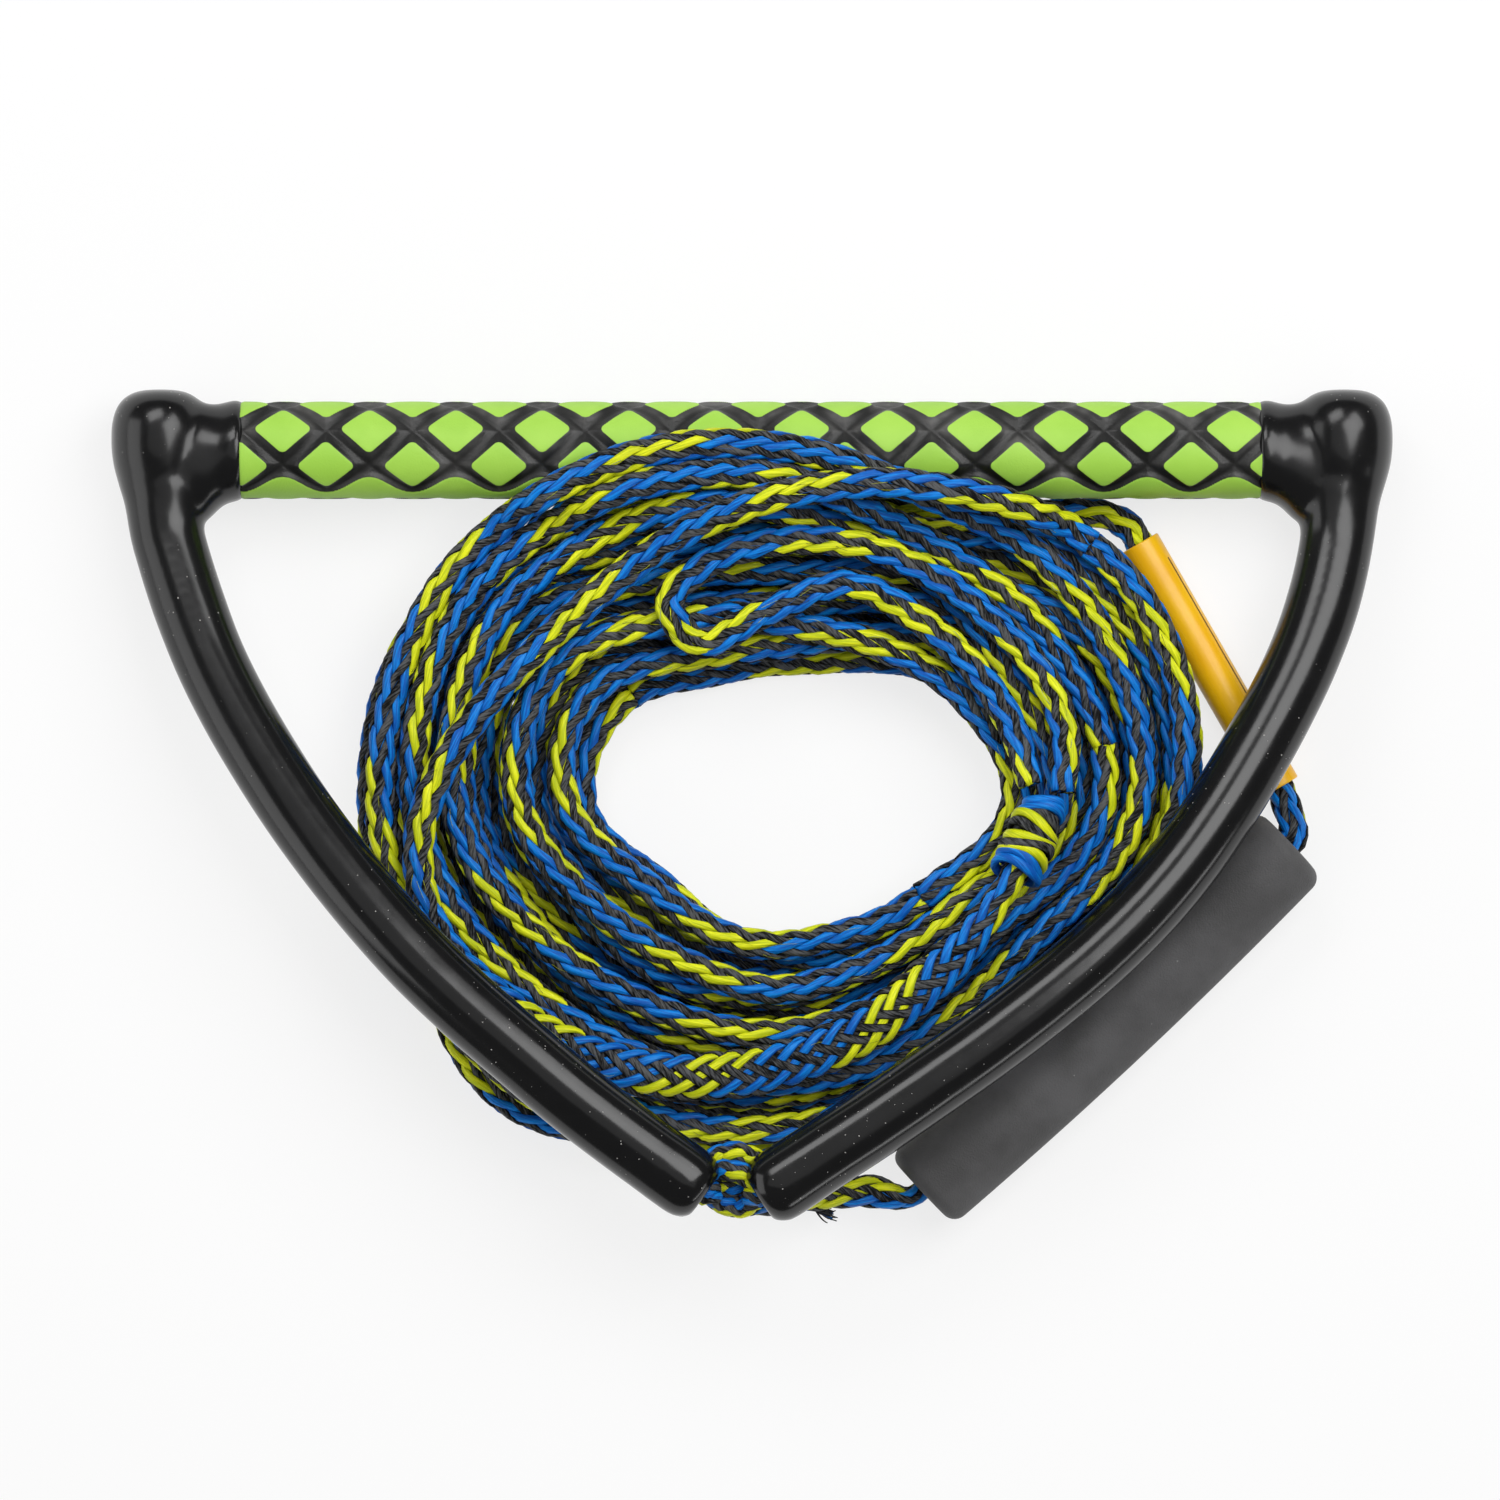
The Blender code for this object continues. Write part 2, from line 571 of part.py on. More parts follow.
def whip_rings(line, along):
    rings = []
    for i, centre in enumerate(line):
        a = Vector(line[max(i - 1, 0)])
        b = Vector(line[min(i + 1, len(line) - 1)])
        way = (b - a).normalized()
        out = way.cross(along).normalized()
        beside = out.cross(way).normalized()
        ring = []
        for k in range(6):
            turn = math.pi / 3 * k
            ring.append(Vector(centre) + WHIP_RADIUS * (math.cos(turn) * beside + math.sin(turn) * out))
        rings.append(ring)
    return rings


def float_line_points(coil):
    """The line from the knot through the float and the guard to the start of the coil."""
    start = np.array(coil[0])
    step = coil[1] - coil[0]
    step = step / np.linalg.norm(step)
    upper = np.array([*FLOAT_UPPER, FLOAT_RADIUS])
    lower = np.array([*FLOAT_LOWER, FLOAT_RADIUS])
    way = (lower - upper) / np.linalg.norm(lower - upper)
    top = np.array([*GUARD_UPPER, GUARD_Z])
    low = np.array([*GUARD_LOWER, GUARD_Z])
    rise = (top - low) / np.linalg.norm(top - low)
    lead = smooth_route(LEAD_ROUTE + [tuple(lower + way * 4.6)], 14)
    bend = smooth_route(
        [tuple(upper - way * 0.6)] + [tuple(p) for p in BEND_ROUTE] + [tuple(low - rise * 0.6)], 11
    )
    entry = smooth_route(
        [tuple(top + rise * 5.0)] + ENTRY_ROUTE + [tuple(start - step * 9.0), tuple(start - step * 0.4)], 16
    )
    straight = [tuple(lower + (upper - lower) * u) for u in (0.0, 0.25, 0.5, 0.75, 1.0)]
    sleeve = [tuple(low + (top - low) * u) for u in (0.0, 0.33, 0.66, 1.0)]
    points = [tuple(p) for p in lead] + straight + [tuple(p) for p in bend] + sleeve + [tuple(p) for p in entry]
    return np.array(points)


def build_float_line(coil):
    line = float_line_points(coil)
    radii = [min(LINE_RADIUS, place[2] - 0.02) for place in line]
    rings = tube_rings(line, radii, 8)
    add_object("float_line", loft("float_line", rings), ROPE)
    upper = (*FLOAT_UPPER, FLOAT_RADIUS)
    lower = (*FLOAT_LOWER, FLOAT_RADIUS)
    hollow("float", upper, lower, FLOAT_RADIUS, FLOAT_BORE, 1.6, 24, FLOAT_FOAM)
    low = (*GUARD_LOWER, GUARD_Z)
    top = (*GUARD_UPPER, GUARD_Z)
    hollow("chafe_guard", low, top, GUARD_RADIUS, GUARD_BORE, 0.4, 18, GUARD_PLASTIC)


def hollow(name, start, end, radius, bore, round_by, sides, mat):
    """A bored round piece with eased rims."""
    a = Vector(start)
    b = Vector(end)
    along = (b - a).normalized()
    side = along.cross(Vector((0, 0, 1))).normalized()
    up = side.cross(along)
    long = (b - a).length
    profile = []
    for k in range(4):
        turn = math.pi / 2 * k / 3
        profile.append((round_by * (1 - math.sin(turn)), radius - round_by * (1 - math.cos(turn))))
    profile = list(reversed([(p, r) for p, r in profile]))
    outer = [(p, r) for p, r in profile] + [(long - p, r) for p, r in reversed(profile)]
    rings = []
    for at, r in outer + [(long, bore), (0.0, bore)]:
        ring = []
        for k in range(sides):
            turn = 2 * math.pi * (k + 0.5) / sides
            ring.append(a + along * at + r * (math.cos(turn) * side + math.sin(turn) * up))
        rings.append(ring)
    rings.append(rings[0])
    return add_object(name, loft(name, rings, caps=False), mat)


build_bar()
build_grip()
build_leg("left", LEFT_BOOT_X, LEFT_LEG_ROUTE)
build_leg("right", RIGHT_BOOT_X, RIGHT_LEG_ROUTE)
build_knot()
coil_line = build_coil()
build_tow(coil_line)
build_float_line(coil_line)
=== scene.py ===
"""Looks of a water-sport tow handle with its coiled rope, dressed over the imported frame.

All lengths in the tables are millimetres in the frame's axes: X along the grip bar, Y from the
legs' tips to the bar, Z up from the floor. Meshes are written in metres.
"""

import logging
import math
from dataclasses import dataclass, field
from enum import Enum
from typing import Callable, Sequence

import bmesh
import bpy
import numpy as np
from mathutils import Matrix, Vector
from mathutils.kdtree import KDTree

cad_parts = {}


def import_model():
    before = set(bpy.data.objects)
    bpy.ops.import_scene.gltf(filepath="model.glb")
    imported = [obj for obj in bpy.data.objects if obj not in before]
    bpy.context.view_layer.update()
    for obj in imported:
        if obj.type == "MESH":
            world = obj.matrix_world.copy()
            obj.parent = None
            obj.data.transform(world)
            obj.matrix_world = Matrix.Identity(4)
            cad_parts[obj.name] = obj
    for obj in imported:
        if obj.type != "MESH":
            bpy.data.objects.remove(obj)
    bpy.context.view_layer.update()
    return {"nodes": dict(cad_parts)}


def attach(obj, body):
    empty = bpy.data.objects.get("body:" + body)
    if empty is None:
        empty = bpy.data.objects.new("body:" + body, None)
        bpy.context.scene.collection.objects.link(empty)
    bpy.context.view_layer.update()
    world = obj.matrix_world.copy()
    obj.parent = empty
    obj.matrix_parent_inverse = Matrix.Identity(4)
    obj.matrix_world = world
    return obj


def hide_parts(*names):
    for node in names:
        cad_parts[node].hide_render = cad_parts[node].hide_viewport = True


LOG = logging.getLogger("tow_handle")
MM = 0.001
Point = tuple[float, float, float]
UP: Point = (0.0, 0.0, 1.0)
ANY_TURN = 6.28  # random phases are drawn from a full turn
Socket = bpy.types.NodeSocket
NUMBER = "NodeSocketFloat"


class Body(Enum):
    """Moving bodies of the frame."""

    HANDLE = "handle"
    FLOAT = "float_body"
    GUARD = "guard_body"


class Yarn(Enum):
    """Yarns of the braid, in the order of a rope's material slots."""

    BLUE = 0
    LIME = 1
    BLACK = 2


# Routes and curves


def ease(share: np.ndarray) -> np.ndarray:
    """Smooth step from 0 to 1 of a share."""
    share = np.clip(share, 0.0, 1.0)
    return share * share * (3.0 - 2.0 * share)


def plateau(at: np.ndarray, shape: Sequence[float]) -> np.ndarray:
    """Share that rises from 0 to 1 along a line and falls again.

    Args:
        at: places along the line.
        shape: where the rise starts and how long it is, then the same for the fall.

    Returns:
        The share at each place.
    """
    rise, rise_run, fall, fall_run = shape
    return ease((at - rise) / rise_run) * (1.0 - ease((at - fall) / fall_run))


def run_of(line: np.ndarray) -> np.ndarray:
    """Length along a line at each of its points."""
    return np.concatenate([[0.0], np.cumsum(np.linalg.norm(np.diff(line, axis=0), axis=1))])


def even_steps(line: np.ndarray, step: float) -> np.ndarray:
    """Resample a line.

    Args:
        line: points of the line.
        step: wanted distance between points.

    Returns:
        Points at even distances along the line, ends included.
    """
    run = run_of(line)
    count = max(4, int(round(run[-1] / step)) + 1)
    at = np.linspace(0.0, run[-1], count)
    return np.stack([np.interp(at, run, line[:, k]) for k in range(3)], axis=1)


def smooth_route(points: Sequence[Sequence[float]], count: int) -> np.ndarray:
    """Draw a smooth curve through a few points.

    Args:
        points: points that the curve passes.
        count: number of points to return.

    Returns:
        Points at even steps along the curve.
    """
    p = np.array(points, float)
    at = run_of(p)
    slope = np.gradient(p, at, axis=0)
    fine = []
    for i in range(len(p) - 1):
        h = at[i + 1] - at[i]
        u = np.linspace(0.0, 1.0, 24, endpoint=False)[:, None]
        fine.append(
            (2 * u**3 - 3 * u**2 + 1) * p[i]
            + (u**3 - 2 * u**2 + u) * h * slope[i]
            + (3 * u**2 - 2 * u**3) * p[i + 1]
            + (u**3 - u**2) * h * slope[i + 1]
        )
    fine.append(p[-1:])
    whole = np.concatenate(fine)
    run = run_of(whole)
    even = np.linspace(0.0, run[-1], count)
    return np.stack([np.interp(even, run, whole[:, k]) for k in range(whole.shape[1])], axis=1)


def unit(vectors: np.ndarray) -> np.ndarray:
    """Vectors of the same directions, each of length 1."""
    return vectors / np.linalg.norm(vectors, axis=-1, keepdims=True)


def line_frames(line: np.ndarray) -> tuple[np.ndarray, np.ndarray, np.ndarray]:
    """Directions at each point of a line.

    Args:
        line: points of the line, nowhere upright.

    Returns:
        Unit vectors along the line, to its side, and as near upright as they can be.
    """
    along = unit(np.gradient(line, axis=0))
    side = unit(np.cross(along, UP))
    return along, side, np.cross(side, along)


# Meshes


def new_object(name: str, mesh: bpy.types.Mesh) -> bpy.types.Object:
    """Link a mesh to the scene as an object at the origin.

    Args:
        name: name of the piece.
        mesh: its mesh.

    Returns:
        The object.
    """
    made = bpy.data.objects.new(name, mesh)
    bpy.context.scene.collection.objects.link(made)
    return made


def object_from_bmesh(name: str, bm: bmesh.types.BMesh) -> bpy.types.Object:
    """Write a bmesh that is in millimetres to a new smooth object.

    Args:
        name: name of the piece.
        bm: its shape, freed here.

    Returns:
        The object, in metres.
    """
    bmesh.ops.remove_doubles(bm, verts=bm.verts, dist=1e-4)
    bmesh.ops.recalc_face_normals(bm, faces=bm.faces)
    bmesh.ops.scale(bm, vec=(MM, MM, MM), verts=bm.verts)
    mesh = bpy.data.meshes.new(name)
    bm.to_mesh(mesh)
    bm.free()
    mesh.shade_smooth()
    return new_object(name, mesh)


def sweep_rings(bm: bmesh.types.BMesh, places: Sequence[Matrix], sides: int) -> None:
    """Extrude a circle through a row of places and close both ends.

    Args:
        bm: bmesh that gets the skin.
        places: where each ring of the skin lies, with its scale.
        sides: corners of a ring.
    """
    made = bmesh.ops.create_circle(bm, cap_ends=False, radius=1.0, segments=sides)
    ring = made["verts"]
    bmesh.ops.transform(bm, matrix=places[0], verts=ring)
    edges = list({e for v in ring for e in v.link_edges})
    bmesh.ops.contextual_create(bm, geom=edges)
    for before, after in zip(places, places[1:]):
        grown = bmesh.ops.extrude_edge_only(bm, edges=edges)["geom"]
        ring = [g for g in grown if isinstance(g, bmesh.types.BMVert)]
        edges = [g for g in grown if isinstance(g, bmesh.types.BMEdge)]
        bmesh.ops.transform(bm, matrix=after @ before.inverted(), verts=ring)
    bmesh.ops.contextual_create(bm, geom=edges)


def ring_place(centre: Sequence[float], along: Vector, wide: float, high: float) -> Matrix:
    """Place of a ring square to a direction.

    Args:
        centre: middle of the ring.
        along: direction that the ring faces.
        wide: half its width to the side.
        high: half its height.

    Returns:
        Matrix that takes a unit circle there.
    """
    along = along.normalized()
    side = along.cross(Vector(UP)).normalized()
    up = side.cross(along)
    turn = Matrix((side, up, -along)).transposed().to_4x4()
    return Matrix.Translation(Vector(centre)) @ turn @ Matrix.Diagonal((wide, high, 1.0, 1.0))


def spin_profile(bm: bmesh.types.BMesh, profile: Sequence[tuple[float, float]], steps: int) -> None:
    """Turn a closed profile about the X axis.

    Args:
        bm: bmesh that gets the skin.
        profile: places along the axis and radii, in order round the profile.
        steps: faces in a full turn.
    """
    corners = [bm.verts.new((at, 0.0, radius)) for at, radius in profile]
    edges = [bm.edges.new((a, b)) for a, b in zip(corners, corners[1:] + corners[:1])]
    bmesh.ops.spin(
        bm, geom=corners + edges, cent=(0, 0, 0), axis=(1, 0, 0), angle=2 * math.pi, steps=steps,
        use_merge=True,
    )


def lay_between(bm: bmesh.types.BMesh, start: Sequence[float], end: Sequence[float]) -> None:
    """Move a shape that was turned about X on to another axis.

    Args:
        bm: the shape.
        start: where its own origin goes.
        end: point that its axis runs towards.
    """
    along = (Vector(end) - Vector(start)).normalized()
    side = Vector(UP).cross(along).normalized()
    turn = Matrix((along, side, along.cross(side))).transposed().to_4x4()
    bmesh.ops.transform(bm, matrix=Matrix.Translation(Vector(start)) @ turn, verts=bm.verts)


@dataclass
class StrandMesh:
    """Interlaced strands gathered into one mesh: no operator lays a braid, so rings are swept."""

    corners: list[np.ndarray] = field(default_factory=list)
    faces: list[np.ndarray] = field(default_factory=list)
    slots: list[np.ndarray] = field(default_factory=list)
    uvs: list[np.ndarray] = field(default_factory=list)
    count: int = 0

    def sweep(
        self, line: np.ndarray, out: np.ndarray, wide: np.ndarray, thick: np.ndarray, yarn: Yarn, sides: int,
        shift: float,
    ) -> None:
        """Add one strand.

        Args:
            line: middle of the strand.
            out: direction at each point that the strand's flat side faces.
            wide: half its width at each point.
            thick: half its thickness at each point.
            yarn: the yarn that it is made of.
            sides: even number of corners of its section.
            shift: where its fibre pattern starts.
        """
        along = unit(np.gradient(line, axis=0))
        out = unit(out - along * np.sum(out * along, axis=1, keepdims=True))
        across = np.cross(along, out)
        turn = 2 * np.pi * np.arange(sides) / sides - np.pi / 2
        ring = (
            across[:, None, :] * (np.cos(turn)[None, :] * wide[:, None])[..., None]
            + out[:, None, :] * (np.sin(turn)[None, :] * thick[:, None])[..., None]
        )
        n = len(line)
        self.corners.append((line[:, None, :] + ring).reshape(-1, 3))
        i = np.arange(n - 1)[:, None] * sides
        k = np.arange(sides)[None, :]
        j = (k + 1) % sides
        walls = np.stack([i + k, i + sides + k, i + sides + j, i + j], axis=2).reshape(-1, 4)
        run = run_of(line) * MM + shift
        low = np.repeat(run[:-1], sides)
        high = np.repeat(run[1:], sides)
        left = np.tile(np.arange(sides) / sides, n - 1)
        right = left + 1.0 / sides
        wall_uv = np.stack([low, left, high, left, high, right, low, right], axis=1)
        start = np.array([[0, m + 1, m + 2, m + 3] for m in range(0, sides - 2, 2)])
        end = (n - 1) * sides + start[:, ::-1]
        cap_uv = np.zeros((2 * len(start), 8))
        self.faces.append(np.concatenate([walls, start, end]) + self.count)
        self.uvs.append(np.concatenate([wall_uv, cap_uv]))
        self.slots.append(np.full(len(walls) + 2 * len(start), yarn.value))
        self.count += n * sides

    def finish(self, name: str, materials: Sequence[bpy.types.Material]) -> bpy.types.Object:
        """Write the strands to an object.

        Args:
            name: name of the piece.
            materials: one material for each yarn.

        Returns:
            The object, in metres.
        """
        corners = np.concatenate(self.corners) * MM
        faces = np.concatenate(self.faces)
        mesh = bpy.data.meshes.new(name)
        mesh.vertices.add(len(corners))
        mesh.vertices.foreach_set("co", corners.astype(np.float32).ravel())
        mesh.loops.add(faces.size)
        mesh.loops.foreach_set("vertex_index", faces.astype(np.int32).ravel())
        mesh.polygons.add(len(faces))
        mesh.polygons.foreach_set("loop_start", np.arange(0, faces.size, 4, dtype=np.int32))
        mesh.polygons.foreach_set("material_index", np.concatenate(self.slots).astype(np.int32))
        layer = mesh.uv_layers.new(name="strand")
        layer.data.foreach_set("uv", np.concatenate(self.uvs).astype(np.float32).ravel())
        for material in materials:
            mesh.materials.append(material)
        mesh.update(calc_edges=True)
        mesh.validate()
        mesh.shade_smooth()
        return new_object(name, mesh)


# Shaders


class Graph:
    """Short calls that add nodes to a tree and give back their outputs."""

    def __init__(self, tree: bpy.types.NodeTree) -> None:
        """Hold the tree that nodes are added to."""
        self.tree = tree

    def node(self, kind: str, **settings: object) -> bpy.types.Node:
        """Add a node.

        Args:
            kind: type of the node.
            settings: properties to set on it.

        Returns:
            The node.
        """
        made = self.tree.nodes.new(kind)
        for name, value in settings.items():
            setattr(made, name, value)
        return made

    def feed(self, socket: Socket, value: object) -> None:
        """Link an input or set it.

        Args:
            socket: the input.
            value: output to link it to, or a plain value.
        """
        if isinstance(value, bpy.types.NodeSocket):
            self.tree.links.new(value, socket)
        else:
            socket.default_value = value

    def math(self, operation: str, a: object, b: object = 0.0) -> Socket:
        """Work out one sum.

        Args:
            operation: the sum.
            a: first value.
            b: second value, where the sum has one.

        Returns:
            The result.
        """
        made = self.node("ShaderNodeMath", operation=operation)
        self.feed(made.inputs[0], a)
        self.feed(made.inputs[1], b)
        return made.outputs[0]

    def mix(self, share: object, a: object, b: object) -> Socket:
        """Mix two colours.

        Args:
            share: share of the second colour.
            a: first colour, as an output or a plain value.
            b: second colour.

        Returns:
            The mixed colour.
        """
        made = self.node("ShaderNodeMix", data_type="RGBA")
        self.feed(made.inputs[0], share)
        for socket, colour in ((made.inputs[6], a), (made.inputs[7], b)):
            self.feed(socket, (*colour, 1.0) if isinstance(colour, tuple) else colour)
        return made.outputs[2]

    def band(
        self, value: object, low: float, high: float, to_low: float = 0.0, to_high: float = 1.0,
    ) -> Socket:
        """Ease a value from one range to another.

        Args:
            value: the value.
            low: start of its range.
            high: end of its range.
            to_low: result at the start.
            to_high: result at the end.

        Returns:
            The eased value.
        """
        made = self.node("ShaderNodeMapRange", interpolation_type="SMOOTHSTEP")
        for socket, given in zip(made.inputs[:5], (value, low, high, to_low, to_high)):
            self.feed(socket, given)
        return made.outputs[0]

    def noise(self, vector: object, scale: float, detail: float = 2.0, rough: float = 0.5) -> Socket:
        """Draw smooth noise.

        Args:
            vector: coordinates that it is drawn in.
            scale: how fine it is.
            detail: number of finer layers.
            rough: strength of the finer layers.

        Returns:
            Noise from 0 to 1.
        """
        made = self.node("ShaderNodeTexNoise")
        self.feed(made.inputs["Vector"], vector)
        made.inputs["Scale"].default_value = scale
        made.inputs["Detail"].default_value = detail
        made.inputs["Roughness"].default_value = rough
        return made.outputs[0]

    def stretch(self, vector: object, scale: Point) -> Socket:
        """Scale coordinates.

        Args:
            vector: the coordinates.
            scale: factor along each axis.

        Returns:
            The scaled coordinates.
        """
        made = self.node("ShaderNodeMapping")
        self.feed(made.inputs["Vector"], vector)
        made.inputs["Scale"].default_value = scale
        return made.outputs[0]

    def place(self, which: str = "Object") -> Socket:
        """Coordinates that a pattern is drawn in."""
        return self.node("ShaderNodeTexCoord").outputs[which]

    def bump(self, height: object, strength: float, distance: float) -> Socket:
        """Raise small heights on a surface.

        Args:
            height: heights from 0 to 1.
            strength: how strongly they show.
            distance: greatest height in metres.

        Returns:
            Normal of the surface.
        """
        made = self.node("ShaderNodeBump")
        made.inputs["Strength"].default_value = strength
        made.inputs["Distance"].default_value = distance
        self.feed(made.inputs["Height"], height)
        return made.outputs[0]

    def group(self, tree: bpy.types.NodeTree, **values: object) -> bpy.types.Node:
        """Place a node group.

        Args:
            tree: the group.
            values: its inputs by name.

        Returns:
            The group's node.
        """
        made = self.node("ShaderNodeGroup", node_tree=tree)
        for name, value in values.items():
            self.feed(made.inputs[name], value)
        return made


def new_group(
    name: str, inputs: Sequence[tuple[str, str, object]], outputs: Sequence[str],
    fill: Callable[[Graph, bpy.types.Node], Sequence[Socket]],
) -> bpy.types.NodeTree:
    """Make a shader node group.

    Args:
        name: name of the group.
        inputs: name, socket type and default of each input.
        outputs: name of each output value.
        fill: adds the nodes and gives back one socket for each output.

    Returns:
        The group's tree.
    """
    tree = bpy.data.node_groups.new(name, "ShaderNodeTree")
    for label, kind, default in inputs:
        socket = tree.interface.new_socket(name=label, in_out="INPUT", socket_type=kind)
        if default is not None:
            socket.default_value = default
    for label in outputs:
        tree.interface.new_socket(name=label, in_out="OUTPUT", socket_type=NUMBER)
    graph = Graph(tree)
    start = graph.node("NodeGroupInput")
    end = graph.node("NodeGroupOutput")
    for socket, value in zip(end.inputs, fill(graph, start)):
        tree.links.new(value, socket)
    return tree


def draw_fibres(graph: Graph, start: bpy.types.Node) -> Sequence[Socket]:
    """Draw fibres that run along a strand, from its own map.

    Args:
        graph: graph of the group.
        start: node with the group's inputs.

    Returns:
        A fine streak, a slow change of tone, and how far round the strand's edge a point lies.
    """
    split = graph.node("ShaderNodeSeparateXYZ")
    graph.feed(split.inputs[0], graph.place("UV"))
    along = graph.math("MULTIPLY", split.outputs[0], start.outputs["Along"])
    twist = graph.math("MULTIPLY", split.outputs[0], start.outputs["Twist"])
    across = graph.math("MULTIPLY", graph.math("ADD", split.outputs[1], twist), start.outputs["Across"])
    fine = graph.node("ShaderNodeCombineXYZ")
    graph.feed(fine.inputs[0], along)
    graph.feed(fine.inputs[1], across)
    slow = graph.node("ShaderNodeCombineXYZ")
    graph.feed(slow.inputs[0], graph.math("MULTIPLY", split.outputs[0], 45.0))
    graph.feed(slow.inputs[1], graph.math("MULTIPLY", split.outputs[1], 2.0))
    aside = graph.math("ABSOLUTE", graph.math("SUBTRACT", split.outputs[1], 0.5))
    edge = graph.band(aside, 0.12, 0.27)
    return graph.noise(fine.outputs[0], 1.0, 3.0, 0.6), graph.noise(slow.outputs[0], 1.0, 1.0, 0.5), edge


def draw_dust(graph: Graph, start: bpy.types.Node) -> Sequence[Socket]:
    """Draw sparse specks of dust, thicker in some places than in others.

    Args:
        graph: graph of the group.
        start: node with the group's inputs.

    Returns:
        Mask of the specks.
    """
    cells = graph.node("ShaderNodeTexVoronoi", feature="F1")
    graph.feed(cells.inputs["Vector"], graph.place())
    graph.feed(cells.inputs["Scale"], start.outputs["Scale"])
    split = graph.node("ShaderNodeSeparateColor")
    graph.feed(split.inputs[0], cells.outputs["Color"])
    size = graph.math("MULTIPLY", graph.math("POWER", split.outputs[0], 2.0), start.outputs["Size"])
    near = graph.math("LESS_THAN", cells.outputs["Distance"], size)
    bare = graph.math("SUBTRACT", 1.0, start.outputs["Share"])
    kept = graph.math("GREATER_THAN", split.outputs[1], bare)
    patch = graph.band(graph.noise(graph.place(), 28.0, 2.0), 0.40, 0.62)
    return (graph.math("MULTIPLY", graph.math("MULTIPLY", near, kept), patch),)


def draw_foam(graph: Graph, start: bpy.types.Node) -> Sequence[Socket]:
    """Draw the closed cells of foam.

    Args:
        graph: graph of the group.
        start: node with the group's inputs.

    Returns:
        Fine pits, and a slow change of tone.
    """
    where = graph.place()
    cells = graph.node("ShaderNodeTexVoronoi", feature="SMOOTH_F1")
    graph.feed(cells.inputs["Vector"], where)
    graph.feed(cells.inputs["Scale"], start.outputs["Scale"])
    grain = graph.node("ShaderNodeTexNoise")
    graph.feed(grain.inputs["Vector"], where)
    graph.feed(grain.inputs["Scale"], start.outputs["Scale"])
    pits = graph.math("MULTIPLY", cells.outputs["Distance"], grain.outputs[0])
    return pits, graph.noise(where, 55.0, 3.0)


def fibre_group() -> bpy.types.NodeTree:
    """Make the group for yarns."""
    inputs = [("Along", NUMBER, 120.0), ("Across", NUMBER, 14.0), ("Twist", NUMBER, 20.0)]
    return new_group("strand_fibres", inputs, ["Streak", "Tone", "Edge"], draw_fibres)


def dust_group() -> bpy.types.NodeTree:
    """Make the group for dusty surfaces."""
    inputs = [("Scale", NUMBER, 420.0), ("Share", NUMBER, 0.3), ("Size", NUMBER, 0.1)]
    return new_group("dust_specks", inputs, ["Specks"], draw_dust)


def foam_group() -> bpy.types.NodeTree:
    """Make the group for foam."""
    return new_group("foam_cells", [("Scale", NUMBER, 2600.0)], ["Pits", "Tone"], draw_foam)


def new_material(name: str) -> tuple[bpy.types.Material, Graph, bpy.types.Node]:
    """Start a material.

    Args:
        name: name of the material.

    Returns:
        The material, its graph and its Principled node.
    """
    made = bpy.data.materials.new(name)
    made.use_nodes = True
    return made, Graph(made.node_tree), made.node_tree.nodes["Principled BSDF"]


@dataclass(frozen=True)
class YarnFinish:
    """A yarn of the braid: plain film fibres that shine, or spun fibres that are dull, each strand darkened
    towards its edges as painted shade.
    """

    name: str
    light: Point
    dark: Point
    rough: float
    shine: float
    # painted shade: share of black mixed in at a strand's edges
    painted_edge_shadow: float
    along: float = 110.0
    across: float = 12.0
    twist: float = 25.0
    depth: float = 0.4
    streaked: float = 0.7
    # painted shade: how much darker a strand's edges are drawn
    painted_edge_shade: float = 0.6

    def make(self, fibres: bpy.types.NodeTree) -> bpy.types.Material:
        """Make the material.

        Args:
            fibres: group that draws fibres along a strand.

        Returns:
            The material.
        """
        made, graph, shader = new_material(self.name)
        group = graph.group(fibres, Along=self.along, Across=self.across, Twist=self.twist)
        streak, tone = group.outputs["Streak"], group.outputs["Tone"]
        fine = graph.math("MULTIPLY", streak, self.streaked)
        share = graph.math("ADD", fine, graph.math("MULTIPLY", tone, 1.0 - self.streaked))
        share = graph.band(share, 0.40, 0.61)
        # painted shade: the colour darkens towards the strand's edges and is mixed towards black there,
        # standing in for the shadow between strands
        share = graph.math("SUBTRACT", share, graph.math("MULTIPLY", group.outputs["Edge"], self.painted_edge_shade))
        colour = graph.mix(share, self.dark, self.light)
        painted_edge_shadow = graph.math("MULTIPLY", group.outputs["Edge"], self.painted_edge_shadow)
        graph.feed(shader.inputs["Base Color"], graph.mix(painted_edge_shadow, colour, (0.0, 0.0, 0.0)))
        rough = graph.band(streak, 0.3, 0.7, self.rough + 0.12, self.rough - 0.08)
        graph.feed(shader.inputs["Roughness"], rough)
        shader.inputs["Specular IOR Level"].default_value = self.shine
        graph.feed(shader.inputs["Normal"], graph.bump(streak, 0.9, self.depth * MM))
        return made


@dataclass(frozen=True)
class KnotFinish:
    """Tightly knotted black rope inside a boot, drawn in the object's own space."""

    light: Point = (0.05, 0.05, 0.05)
    dark: Point = (0.01, 0.01, 0.01)
    fibres: Point = (1900.0, 260.0, 1900.0)

    def make(self) -> bpy.types.Material:
        """Make the material.

        Returns:
            The material.
        """
        made, graph, shader = new_material("knotted_rope")
        fibre = graph.noise(graph.stretch(graph.place(), self.fibres), 1.0, 3.0)
        graph.feed(shader.inputs["Base Color"], graph.mix(fibre, self.dark, self.light))
        graph.feed(shader.inputs["Roughness"], graph.band(fibre, 0.3, 0.7, 0.85, 0.65))
        graph.feed(shader.inputs["Normal"], graph.bump(fibre, 0.8, 0.4 * MM))
        return made


